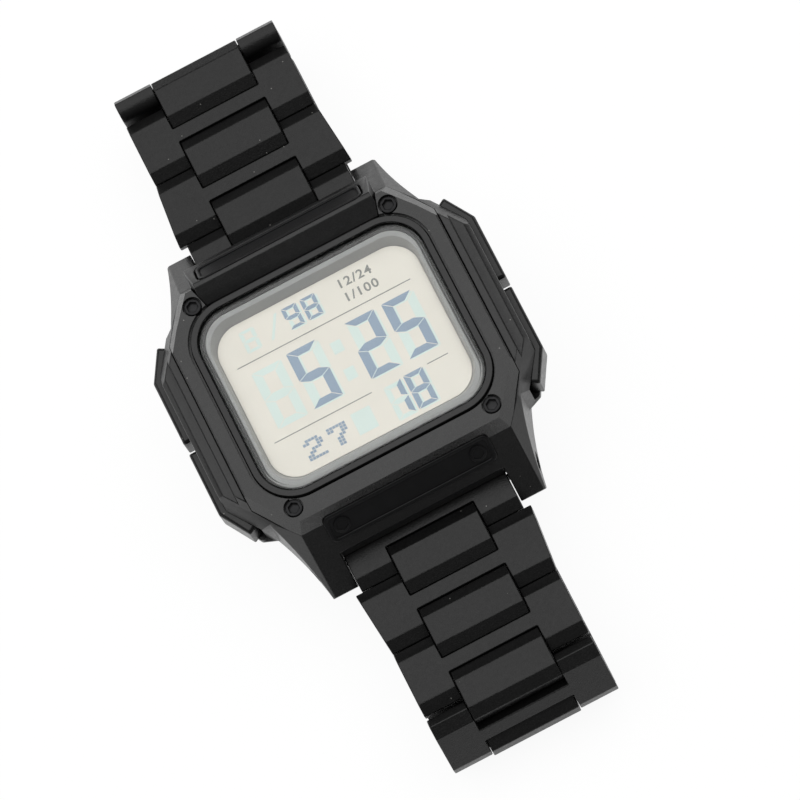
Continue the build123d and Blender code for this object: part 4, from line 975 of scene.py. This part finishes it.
@dataclass
class SlopePlates:
    """The sunk-field plates on the sloping ends and the two rivets at 6 o'clock."""

    slopes: Slopes
    size: Point = (24.3, 4.2)
    corner: float = 0.9
    thickness: float = 0.9
    border: float = 0.55
    field_depth: float = 0.18
    edge: float = 0.12
    lip: float = 0.096
    seat_gap: dict[End, float] = field(default_factory=lambda: {End.TWELVE: 0.2, End.SIX: 0.05})
    proud: dict[End, float] = field(default_factory=lambda: {End.TWELVE: 0.05, End.SIX: 0.5})
    overhang: float = 1.0
    rivet_inset: float = 2.15
    rivet: SocketHead = SocketHead(
        radius=1.15,
        foot=-0.45,
        top=0.07,
        rim=((0.0, 0.08), (0.03, 0.02), (0.1, 0.0)),
        flats=1.5,
        lip=(0.08, 0.05),
        depth=0.15,
    )

    def pose(self, end: End) -> Matrix:
        """Middle of a plate's outer face, lying on its slope, in millimetres."""
        y, z = self.slopes.foot_y(), CASE_TOP_Z
        along = self.size[1] / 2 - self.overhang
        if end is End.TWELVE:
            y, z = self.slopes.rim_y, self.slopes.rim_z
            along = self.size[1] / 2 + self.seat_gap[end]
        tilt, proud = self.slopes.tilt(), self.proud[end]
        y += along * math.cos(tilt) + proud * math.sin(tilt)
        z += proud * math.cos(tilt) - along * math.sin(tilt)
        turn = Matrix.Rotation(-end.value * tilt, 4, "X")
        return Matrix.Translation((0, end.value * y, z)) @ turn

    def plate(self, end: End, name: str) -> Piece:
        """Plate with a raised border round its field."""
        outside = [(0.0, -self.thickness), *edge_steps(0.0, self.edge)]
        inside = [*lip_steps(0.0, self.lip), (0.0, -self.field_depth)]
        loops = stack(self.size, self.corner, *outside)
        loops += stack(shrunk(self.size, self.border), self.corner - self.border / 2, *inside)
        return place_mesh(shade(loft(name, loops), angle=50), self.pose(end))

    def build(self, rows: Pattern) -> None:
        """Makes and hands in both plates and the rivets."""
        for end, name, node in (
            (End.TWELVE, "upper_plate", "plate_12"),
            (End.SIX, "lower_plate", "plate_6"),
        ):
            hand_in(paint(self.plate(end, name), PLATE_METAL), "case", "plate_metal", node)
        rivets = self.rivet.row(
            rows,
            "plate_rivet_pair",
            PLATE_METAL,
            Columns=2,
            Rows=1,
            Spread_X=(self.size[0] - 2 * self.rivet_inset) * MM,
            Spread_Y=0.0,
            Centre=self.pose(End.SIX).translation * MM,
            Tilt=self.slopes.tilt(),
        )
        hand_in(rivets, "case", "plate_metal", "plate_rivets")


@dataclass
class BezelPlate:
    """Octagonal face plate with its groove, screw pockets and four socket screws."""

    slopes: Slopes
    window: Window
    plates: SlopePlates
    diagonal_margin: float = 1.0
    edge_bevel: float = 0.2
    groove: float = 0.35
    groove_depth: float = 0.7
    screw_place: Point = (14.57, 15.7)
    screw_sink: float = 0.15
    pocket_radius: float = 1.35
    screw: SocketHead = SocketHead(
        radius=1.15,
        foot=-0.9,
        top=0.0,
        rim=((0.0, 0.14), (0.04, 0.05), (0.14, 0.0)),
        flats=1.3,
        lip=(0.16, 0.08),
        depth=0.5,
    )
    hood_foot: float = 12.85
    hood_rear: float = 13.75
    hood_end_y: float = 22.05
    seat_height: float = 3.0
    soft_edge: float = 0.12

    def outline(self) -> Plan:
        """Plan of the plate before its edges are sloped."""
        side, run = self.slopes.face_side, self.slopes.corner_run()
        side_y = side[1] + self.diagonal_margin * run.length / run.x
        end_y = self.slopes.foot_y()
        end_x = side[0] - (end_y - side_y) * run.x / run.y
        upper = [(side[0], side_y), (end_x, end_y), (-end_x, end_y), (-side[0], side_y)]
        return upper + [(-x, -y) for x, y in upper]

    def blank(self) -> Piece:
        """Plate with all its slopes and no openings."""
        piece = prism("face_plate", self.outline(), CASE_TOP_Z, FACE_Z)
        for side_x in SIDES:
            for side_y in SIDES:
                slice_off(piece, *self.slopes.diagonal(side_x, side_y))
                slice_off(piece, *self.slopes.lug_facet(side_x, side_y))
            corner = Vector((side_x * self.slopes.face_side[0], 0, FACE_Z - self.edge_bevel))
            slice_off(piece, corner, Vector((side_x, 0, 1)))
        for side_y in SIDES:
            end = Vector((0, side_y * self.slopes.face_end_y, FACE_Z))
            normal = Vector((0, side_y * (FACE_Z - CASE_TOP_Z), self.slopes.facet_run))
            slice_off(piece, end, normal)
        return piece

    def hood_notch(self) -> Piece:
        """What the hood takes out of the plate."""
        foot_y, rim_y = self.window.ring_size[1] / 2, self.slopes.rim_y
        right = [
            (self.hood_foot, foot_y),
            (self.hood_rear, rim_y),
            (self.hood_rear, self.hood_end_y),
        ]
        left = [(-x, y) for x, y in reversed(right)]
        plan = [left[-1], *right, *left[:-1]]
        return prism("notch", plan, CASE_TOP_Z - OVERCUT, FACE_Z + OVERCUT)

    def opening(self, plan: Plan, low: float) -> Piece:
        """Tool that cuts a plan out of the face from a height upwards."""
        return prism("opening", plan, low, FACE_Z + OVERCUT)

    def plate(self) -> Piece:
        """Face plate with its openings cut and its edges softened."""
        size, corner = self.window.ring_size, self.window.ring_corner
        plates, gap = self.plates, self.plates.seat_gap[End.SIX]
        seat_plan = rounded_plan(plates.size, plates.corner, -gap)
        plate_seat = prism("seat", seat_plan, -plates.thickness, self.seat_height)
        pocket_floor = FACE_Z - self.screw_sink + self.screw.foot
        pockets = []
        for side_x in SIDES:
            for side_y in SIDES:
                where = (side_x * self.screw_place[0], side_y * self.screw_place[1], 0)
                pocket = self.opening(circle_plan(self.pocket_radius), pocket_floor)
                pockets.append(place_mesh(pocket, Matrix.Translation(where)))
        piece = cut(
            self.blank(),
            self.opening(rounded_plan(size, corner, -self.groove), FACE_Z - self.groove_depth),
            self.opening(rounded_plan(size, corner, -self.window.shell_gap), CASE_TOP_Z - OVERCUT),
            self.hood_notch(),
            place_mesh(plate_seat, plates.pose(End.SIX)),
            *pockets,
        )
        return soften(piece, self.soft_edge)

    def build(self, rows: Pattern) -> None:
        """Makes and hands in the plate and its screws."""
        hand_in(paint(self.plate(), BEZEL_RESIN), "case", "bezel_resin", "bezel")
        screws = self.screw.row(
            rows,
            "face_screws",
            SCREW_STEEL,
            Columns=2,
            Rows=2,
            Spread_X=2 * self.screw_place[0] * MM,
            Spread_Y=2 * self.screw_place[1] * MM,
            Centre=Vector((0, 0, FACE_Z - self.screw_sink)) * MM,
            Tilt=0.0,
        )
        hand_in(screws, "case", "screw_steel", "bezel_screws")


@dataclass(frozen=True)
class SoftCopy:
    """A CAD node that keeps its shape but for rounded edges."""

    node: str
    name: str
    slot: str
    edge: float
    finish: Finish
    body: str = ""

    def build(self) -> None:
        """Makes and hands in the copy; without another body it rides on its own node's."""
        piece = new_object(self.name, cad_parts[self.node].data.copy())
        with editing(piece) as work:
            merge(work)
        paint(soften(piece, self.edge, roomy=True), self.finish)
        hand_in(piece, self.body or self.node, self.slot, self.node)


SOFT_COPIES = (
    SoftCopy("case_middle", "case_shell", "case_resin", 0.14, CASE_RESIN, "case"),
    SoftCopy("case_back", "back_plate", "back_steel", 0.1, BACK_STEEL, "case"),
    SoftCopy("clasp_cover", "clasp_shell", "clasp_metal", 0.08, CLASP_METAL),
    *[
        SoftCopy(f"clasp_{leaf}_leaf", f"clasp_{leaf}_plate", "clasp_metal", 0.06, CLASP_METAL)
        for leaf in ("middle", "inner")
    ],
    *[
        SoftCopy(f"clasp_button_{side}", f"clasp_{side}_release", "clasp_metal", 0.06, CLASP_METAL)
        for side in ("left", "right")
    ],
    *[
        SoftCopy(f"pusher_{hour}", f"pusher_{hour}_bar", "pusher_resin", 0.2, PUSHER_RESIN)
        for hour in (2, 4, 8, 10)
    ],
)

CAD_FINISHES: dict[str, Finish] = {
    "crystal_gasket": GASKET_RUBBER,
    "lcd_glass": DISPLAY_GLASS,
    "light_guide": GUIDE_PLASTIC,
    "display_connectors": CONTACT_RUBBER,
    "circuit_board": BOARD_LACQUER,
    "module_holder": HOLDER_PLASTIC,
    "contact_springs": CONTACT_BRASS,
    "battery": CELL_STEEL,
    "battery_clip": CELL_STEEL,
    "buzzer": CONTACT_BRASS,
    "back_gasket": GASKET_RUBBER,
    "back_screws": BACK_STEEL,
    "pusher_seals": GASKET_RUBBER,
    "lug_spring_bars": BACK_STEEL,
}


def paint_cad_nodes() -> None:
    """Gives each node that keeps its CAD shape its material."""
    for node, finish in CAD_FINISHES.items():
        paint(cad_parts[node], finish)
        log.info("%s keeps its CAD shape", node)


# Display

SEGMENTS_OF = {"1": "bc", "2": "abged", "5": "afgcd", "8": "abcdefg", "9": "abfgcd", " ": ""}
DOTS_OF = {
    "2": ("011110", "110011", "000011", "001110", "011000", "110000", "111111"),
    "7": ("111111", "110011", "000011", "000110", "001100", "001100", "001100"),
}


@dataclass(frozen=True)
class FigureRow:
    """Seven-segment figures: their left sides, foot, size, strokes across and up."""

    figures: str
    places: tuple[float, ...]
    foot: float
    size: Point
    stroke: Point
    gap: float = 0.09
    slant: float = 0.62

    def segments(self) -> dict[str, Plan]:
        """Outline of each segment of a figure at the origin."""
        (width, height), (across, up) = self.size, self.stroke
        half, rise = height / 2, up * self.slant
        right = [
            (width, height),
            (width, half),
            (width - across, half + rise),
            (width - across, height - up),
        ]
        left = [(width - x, y) for x, y in right]
        middle = [(0, half), (across, half + rise), (width - across, half + rise)]
        middle += [(width, half), (width - across, half - rise), (across, half - rise)]
        foot = [(0, 0), (width, 0), (width - across, up), (across, up)]
        shapes = {
            "a": [(x, height - y) for x, y in foot],
            "d": foot,
            "b": right,
            "g": middle,
            "f": left,
            "c": [(x, height - y) for x, y in right],
            "e": [(x, height - y) for x, y in left],
        }
        return {name: inset_polygon(plan, self.gap / 2) for name, plan in shapes.items()}

    def shapes(self, lit: bool, shift: Point = (0.0, 0.0)) -> list[Plan]:
        """Segments in their places, moved by a shift: the lit ones, or all of them."""
        return [
            [(left + x + shift[0], self.foot + y + shift[1]) for x, y in plan]
            for left, figure in zip(self.places, self.figures)
            for name, plan in self.segments().items()
            if not lit or name in SEGMENTS_OF[figure]
        ]


FIGURE_ROWS = (
    FigureRow(" 525", (-12.1, -6.55, 2.05, 7.6), -4.09, (4.45, 8.7), (1.35, 1.05)),
    FigureRow(" 98", (-11.2, -4.5, -1.75), 7.23, (2.25, 3.3), (0.62, 0.5)),
    FigureRow("18", (2.55, 5.85), -10.87, (2.9, 5.2), (0.85, 0.7)),
)


@dataclass
class Display:
    """Front glass, figures, dot row, unlit segments with a painted shadow of the figures, and
    printed lines.
    """

    window: Window
    glass_rise: float = 1.44
    glass_gap: float = 0.03
    glass_foot: float = 0.08
    glass_edge: float = 0.05
    layer: float = 0.012
    # offset of the painted shadow of the lit segments; the unlit segments move with it
    ghost_shift: Point = (0.28, -0.2)
    ghost_marks: tuple[tuple[Point, ...], ...] = (
        ((-0.75, 1.33), (0.75, 1.33), (0.75, 3.08), (-0.75, 3.08)),
        ((-0.75, -2.82), (0.75, -2.82), (0.75, -1.07), (-0.75, -1.07)),
        ((-7.3, 7.25), (-6.9, 7.25), (-5.1, 10.45), (-5.5, 10.45)),
        ((-2.6, -10.25), (0.2, -10.25), (0.2, -7.05), (-2.6, -7.05)),
    )
    line: float = 0.13
    lines: tuple[Triple, ...] = (
        (-13.1, 12.65, 5.9),
        (9.45, 12.55, -5.74),
        (-13.1, 1.3, -5.67),
    )
    dot_pitch: Point = (0.46, 0.43)
    dot_size: Point = (0.4, 0.37)
    dot_y: float = -7.3
    dot_x: tuple[float, ...] = (-9.75, -6.15)
    dot_figures: str = "27"
    legend: tuple[tuple[str, float, float], ...] = (("12/24", 3.6, 9.25), ("1/100", 3.7, 7.15))
    legend_size: float = 1.75
    legend_weight: float = 0.035
    legend_spacing: float = 1.15
    legend_stretch: float = 1.12

    def top_z(self) -> float:
        """Height of the display's front."""
        return GLASS_TOP_Z + self.glass_rise

    def ink_z(self) -> float:
        """Height of the lit and the printed layer."""
        return self.top_z() + 2 * self.layer

    def front_glass(self) -> Piece:
        """Front glass that fills the foot of the tapering frame."""
        top, gap, edge = self.top_z(), self.glass_gap, self.glass_edge
        steps = [(gap, GLASS_TOP_Z + self.glass_foot), (gap, top - edge), (gap + edge, top)]
        loops = [stack(*self.window.hole_at(z), (inset, z))[0] for inset, z in steps]
        return shade(loft("display_front", loops))

    def ghosts_and_shadows(self) -> Piece:
        """Every segment shifted below the ink: faint unlit segments, and a painted shadow of the
        lit ones.
        """
        shapes = [plan for row in FIGURE_ROWS for plan in row.shapes(False, self.ghost_shift)]
        marks = [list(mark) for mark in self.ghost_marks]
        return flat_piece("display_shadows", shapes + marks, self.top_z() + self.layer)

    def ink(self) -> Piece:
        """Lit segments."""
        shapes = [plan for row in FIGURE_ROWS for plan in row.shapes(True)]
        return flat_piece("display_figures", shapes, self.ink_z())

    def printed_lines(self) -> Piece:
        """Thin lines between the fields."""
        half = self.line / 2
        shapes = [rectangle(x0, y - half, x1, y + half) for x0, x1, y in self.lines]
        return flat_piece("display_lines", shapes, self.ink_z())

    def legends(self) -> Piece:
        """Two short rows of numbers."""
        work = bmesh.new()
        stretch = Matrix.Diagonal((self.legend_stretch, 1.0, 1.0, 1.0))
        for text, x, y in self.legend:
            curve = bpy.data.curves.new("legend", "FONT")
            curve.body, curve.size = text, self.legend_size * MM
            curve.space_character, curve.offset = self.legend_spacing, self.legend_weight * MM
            letters = new_object("legend", curve)
            graph = bpy.context.evaluated_depsgraph_get()
            mesh = bpy.data.meshes.new_from_object(letters.evaluated_get(graph))
            discard(letters)
            mesh.transform(Matrix.Translation(Vector((x, y, self.ink_z())) * MM) @ stretch)
            work.from_mesh(mesh)
        return from_bmesh("display_legend", work, scale=1.0)

    def dot_row(self) -> Piece:
        """Two dot-matrix figures."""
        work = bmesh.new()
        for left, figure in zip(self.dot_x, self.dot_figures):
            for row, cells in enumerate(DOTS_OF[figure]):
                y = self.dot_y - (row + 0.5) * self.dot_pitch[1]
                for column, cell in enumerate(cells):
                    if cell == "1":
                        work.verts.new((left + column * self.dot_pitch[0], y, self.ink_z()))
        lit = from_bmesh("lit_dots", work)
        width, height = (size * MM for size in self.dot_size)
        ink = material_of(DISPLAY_INK)
        piece = dots_pattern().make(
            "display_dots", Lit=lit, Dot_width=width, Dot_height=height, Finish=ink
        )
        discard(lit)
        return piece

    def build(self) -> None:
        """Makes and hands in every layer."""
        for piece, finish in (
            (self.front_glass(), DISPLAY_GLASS),
            (self.ghosts_and_shadows(), DISPLAY_GHOST_AND_SHADOW),
            (self.ink(), DISPLAY_INK),
            (self.printed_lines(), DISPLAY_PRINT),
            (self.legends(), DISPLAY_PRINT),
            (self.dot_row(), DISPLAY_INK),
        ):
            hand_in(paint(piece, finish), "case", "lcd")


# Bracelet

@dataclass
class BandRun:
    """Pins and bends of the bracelet halves, lug to clasp."""

    bar_y: float = 22.3
    end_pitch: float = 2.8
    mid_pitch: float = 4.5
    wide_pitch: float = 5.1
    pairs: int = 6
    first_bent: int = 5
    bends_six: Point = (60.0, 60.0)
    first_bend_twelve: float = 90.0
    floor_pin: float = 2.8

    def pitches(self) -> list[float]:
        """Pin distances of the links of a half."""
        return [self.end_pitch] + [self.mid_pitch, self.wide_pitch] * self.pairs

    def run(self, bends: Sequence[float]) -> tuple[list[Point], list[float]]:
        """Pins as (y, height over the first pin) and link angles of a half."""
        bent = {self.first_bent + index: bend for index, bend in enumerate(bends)}
        y, z, angle = self.bar_y, 0.0, 0.0
        pins, angles = [(y, z)], []
        for index, pitch in enumerate(self.pitches()):
            angle += bent.get(index - 1, 0.0)
            angles.append(angle)
            y += pitch * math.cos(math.radians(angle))
            z -= pitch * math.sin(math.radians(angle))
            pins.append((y, z))
        return pins, angles

    def half(self, end: End) -> tuple[list[Point], list[float]]:
        """Pins as (y, z) and link angles of one half, all heights above the floor."""
        first, second = self.bends_six
        pins, angles = self.run((first, second, 180 - first - second))
        drop = -pins[-1][1]
        if end is End.TWELVE:
            steep, slanted = self.pitches()[self.first_bent + 1 : self.first_bent + 3]
            bend = self.first_bend_twelve
            left = drop - steep * math.sin(math.radians(bend))
            turn = 180 - bend - math.degrees(math.asin(left / slanted))
            pins, angles = self.run((bend, turn, 180 - bend - turn))
        return [(y, z + drop + self.floor_pin) for y, z in pins], angles


@dataclass
class Bracelet:
    """End links, raised mid links and wide links with their pins."""

    run: BandRun = field(default_factory=BandRun)
    pin_radius: float = 0.5
    pin_fit: float = 0.97
    pin_sink: float = 0.3
    mid_reach: float = 1.4
    mid_top: float = 2.6
    mid_width: float = 12.8
    wide_top: float = 1.9
    wide_bottom: float = 1.5
    chamfer: Point = (1.6, 1.0)
    leg_radius: float = 1.7
    leg_gap: float = 0.1
    side_gap: float = 0.12
    end_gap: float = 0.12
    width_at_lugs: float = 25.9
    width: float = 24.1
    width_at_clasp: float = 20.6
    last_pin_spare: float = 1.0
    end_half: float = 11.95
    barrel_end: float = 232.0
    bar_radius: float = 0.8
    hole_half: float = 20.0
    hole_sides: int = 24
    corner_steps: int = 8
    soft_edge: float = 0.14

    def leg_reach(self) -> float:
        """How far a leg reaches past its pin."""
        return self.run.mid_pitch / 2 - self.leg_gap / 2

    def corner(self, centre: Point, radius: float, start: float, stop: float) -> Plan:
        """Points of a rounded corner of a side view."""
        (y, z), steps = centre, self.corner_steps
        turns = [math.radians(start + (stop - start) * k / steps) for k in range(steps + 1)]
        return [(y + radius * math.cos(t), z + radius * math.sin(t)) for t in turns]

    def profile(self, pitch: float, reach: float, top: float, bottom: float, radius: float) -> Plan:
        """Side view of a link with its first pin at the origin.

        Args:
            pitch: distance between its pins.
            reach: how far it goes past each pin.
            top: height of its upper face.
            bottom: depth of its lower face.
            radius: radius of its lower corners.

        Returns:
            Points as (y, z).
        """
        length, drop = self.chamfer
        end, low = pitch + reach, radius - bottom
        crown = [(-reach, top - drop), (length - reach, top)]
        crown += [(end - length, top), (end, top - drop)]
        far = self.corner((end - radius, low), radius, 0, -90)
        near = self.corner((radius - reach, low), radius, -90, -180)
        return crown + far + near

    def mid_link(self) -> Piece:
        """Raised middle link."""
        reach = self.mid_reach
        shape = self.profile(self.run.mid_pitch, reach, self.mid_top, reach, reach)
        return soften(side_prism("mid_link", shape, self.mid_width / 2), self.soft_edge)

    def pocket(self, y0: float, y1: float) -> Piece:
        """Room for the end of a mid link."""
        half = self.mid_width / 2 + self.side_gap
        low, high = -self.wide_bottom - OVERCUT, self.wide_top + OVERCUT
        return prism("pocket", rectangle(-half, y0, half, y1), low, high)

    def pin_hole(self, y: float, radius: float) -> Piece:
        """Through hole for a pin."""
        plan = circle_plan(radius, self.hole_sides)
        hole = prism("hole", plan, -self.hole_half, self.hole_half)
        turn = Matrix.Rotation(math.pi / 2, 4, "Y")
        return place_mesh(hole, Matrix.Translation((0, y, 0)) @ turn)

    def wide_link(self, near: float, far: float) -> Piece:
        """Wide link with a crossbar and four legs, as wide as given at its two ends."""
        reach, pitch = self.leg_reach(), self.run.wide_pitch
        end, setback = pitch + reach, self.mid_reach + self.end_gap
        shape = self.profile(pitch, reach, self.wide_top, self.wide_bottom, self.leg_radius)
        piece = side_prism("wide_link", shape, max(near, far) / 2)
        if near != far:
            for side in SIDES:
                normal = Vector((side * (end + reach), (near - far) / 2, 0))
                slice_off(piece, Vector((side * near / 2, -reach, 0)), normal)
        cut(
            piece,
            self.pocket(-reach - OVERCUT, setback),
            self.pocket(pitch - setback, end + OVERCUT),
            self.pin_hole(0, self.pin_radius),
            self.pin_hole(pitch, self.pin_radius),
        )
        return soften(piece, self.soft_edge)

    def end_link(self) -> Piece:
        """Link between the lugs, with its barrel."""
        pitch, radius, (length, drop) = self.run.end_pitch, self.leg_radius, self.chamfer
        end, setback = pitch + self.leg_reach(), self.mid_reach + self.end_gap
        shape = [
            *self.corner((0, 0), self.wide_top, self.barrel_end, 90),
            (end - length, self.wide_top),
            (end, self.wide_top - drop),
            *self.corner((end - radius, radius - self.wide_bottom), radius, 0, -90),
        ]
        piece = cut(
            side_prism("end_link", shape, self.end_half),
            self.pocket(pitch - setback, end + OVERCUT),
            self.pin_hole(0, self.bar_radius),
            self.pin_hole(pitch, self.pin_radius),
        )
        return soften(piece, self.soft_edge)

    def kind_of(self, index: int) -> tuple[str, str, float]:
        """Kind of a link, the start of its node's name and the width that its pins span."""
        if index == 0:
            return "end", "end", 2 * self.end_half
        if index % 2:
            return "mid", "mid", 0.0
        if index == 2 * self.run.pairs:
            return "last", "wide", self.width_at_clasp + self.last_pin_spare
        return "first" if index == 2 else "wide", "wide", self.width

    def place_links(self, end: End, links: Pattern, masters: dict[str, Piece]) -> None:
        """Places, mirrors and hands in every link of one half."""
        label = "12" if end is End.TWELVE else "6"
        for index, ((y, z), angle) in enumerate(zip(*self.run.half(end))):
            kind, start, width = self.kind_of(index)
            number = f"_{(index + 1) // 2}" if index else ""
            node = f"{start}_link_{label}{number}"
            pitch = self.run.wide_pitch if index else self.run.end_pitch
            piece = links.make(
                f"link_{node}",
                Link=masters[kind],
                Pin_pitch=pitch * MM,
                Pin_radius=self.pin_radius * self.pin_fit * MM,
                Pin_length=(width - 2 * self.pin_sink) * MM,
                Pins=0 if kind == "mid" else 2,
                Place=Vector((0, y, z)) * MM,
                Bend=-math.radians(angle),
                Finish=material_of(BRACELET_RESIN),
                Pin_finish=material_of(SCREW_STEEL),
            )
            if end is End.SIX:
                piece.data.transform(Matrix.Diagonal((1, -1, 1, 1)))
                piece.data.flip_normals()
            hand_in(piece, node, "bracelet_resin", node)

    def build(self, links: Pattern) -> None:
        """Makes one master of each kind of link and places both halves."""
        masters = {
            "end": self.end_link(),
            "mid": self.mid_link(),
            "first": self.wide_link(self.width_at_lugs, self.width),
            "wide": self.wide_link(self.width, self.width),
            "last": self.wide_link(self.width, self.width_at_clasp),
        }
        for end in End:
            self.place_links(end, links, masters)
        for master in masters.values():
            discard(master)


# Studio

@dataclass
class Studio:
    """Floor, softbox, world and the camera of the photograph."""

    camera_place: Triple = (21.93, -294.53, 832.31)
    right: Triple = (0.88572, -0.43155, -0.17109)
    down: Triple = (-0.46377, -0.83893, -0.28482)
    focal_pixels: float = 6582.6
    picture: float = 800.0
    sensor: float = 36.0
    clip: Point = (0.01, 50.0)
    softbox_size: Point = (2.4, 1.7)
    softbox_place: Triple = (0.0, 0.42, 1.3)
    softbox_power: float = 16.0
    world_strength: float = 0.14
    floor_size: float = 8000.0
    floor_z: float = -0.02
    floor_tone: float = 0.86
    floor_glow: float = 0.86
    floor_light: float = 1.08

    def camera(self) -> None:
        """Makes the camera."""
        right, down = Vector(self.right).normalized(), Vector(self.down).normalized()
        back = right.cross(-down).normalized()
        turn = Matrix((right, back.cross(right), back)).transposed().to_4x4()
        data = bpy.data.cameras.new("photo_camera")
        data.sensor_width = self.sensor
        data.lens = self.focal_pixels * self.sensor / self.picture
        data.clip_start, data.clip_end = self.clip
        camera = new_object("photo_camera", data)
        camera.matrix_world = Matrix.Translation(Vector(self.camera_place) * MM) @ turn
        bpy.context.scene.camera = camera

    def world(self) -> None:
        """Soft grey surroundings, white to the camera."""
        world = bpy.data.worlds.new("studio_world")
        world.use_nodes = True
        nodes = Nodes(world.node_tree)
        light = nodes.add("ShaderNodeBackground", WHITE, self.world_strength)
        white = nodes.add("ShaderNodeBackground")
        seen = nodes.add("ShaderNodeLightPath").outputs["Is Camera Ray"]
        both = nodes.add("ShaderNodeMixShader", seen, light, white)
        nodes.add("ShaderNodeOutputWorld", both)
        bpy.context.scene.world = world

    def paper(self) -> bpy.types.Material:
        """Floor paper that glows where the camera, gloss or glass shows it; clear from below."""
        recipe = Recipe("floor_paper")
        rays = recipe.add("ShaderNodeLightPath").outputs
        seen = rays["Is Camera Ray"]
        for name in ("Is Transmission Ray", "Is Glossy Ray"):
            seen = recipe.combined("MAXIMUM", seen, rays[name])
        share = recipe.combined("MULTIPLY", seen, self.floor_glow)
        paper = recipe.add("ShaderNodeBsdfDiffuse", (*[self.floor_tone] * 3, 1))
        glow = recipe.add("ShaderNodeEmission", WHITE, self.floor_light)
        upper = recipe.add("ShaderNodeMixShader", share, paper, glow)
        clear = recipe.add("ShaderNodeBsdfTransparent")
        below = recipe.add("ShaderNodeNewGeometry").outputs["Backfacing"]
        return recipe.finished(recipe.add("ShaderNodeMixShader", below, upper, clear))

    def floor(self) -> None:
        """Pale floor that keeps the shadow."""
        half = self.floor_size / 2
        floor = flat_piece("studio_floor", [rectangle(-half, -half, half, half)], self.floor_z)
        floor.data.materials.append(self.paper())

    def softbox(self) -> None:
        """One large softbox overhead."""
        data = bpy.data.lights.new("softbox", "AREA")
        data.shape = "RECTANGLE"
        data.size, data.size_y = self.softbox_size
        data.energy = self.softbox_power
        new_object("softbox", data).location = self.softbox_place

    def build(self) -> None:
        """Makes the whole studio."""
        self.camera()
        self.world()
        self.floor()
        self.softbox()
        bpy.context.scene.view_settings.view_transform = "Standard"


def main() -> None:
    """Builds every sub-assembly in order and parents each piece to the empty of its body."""
    logging.basicConfig(level=logging.INFO, format="%(name)s: %(message)s")
    Studio().build()
    slopes, window = Slopes(), Window()
    plates = SlopePlates(slopes)
    rows = rows_pattern()
    for copy in SOFT_COPIES:
        copy.build()
    BezelPlate(slopes, window, plates).build(rows)
    window.build()
    plates.build(rows)
    Display(window).build()
    Bracelet().build(link_pattern())
    paint_cad_nodes()


if __name__ == "__main__":
    main()
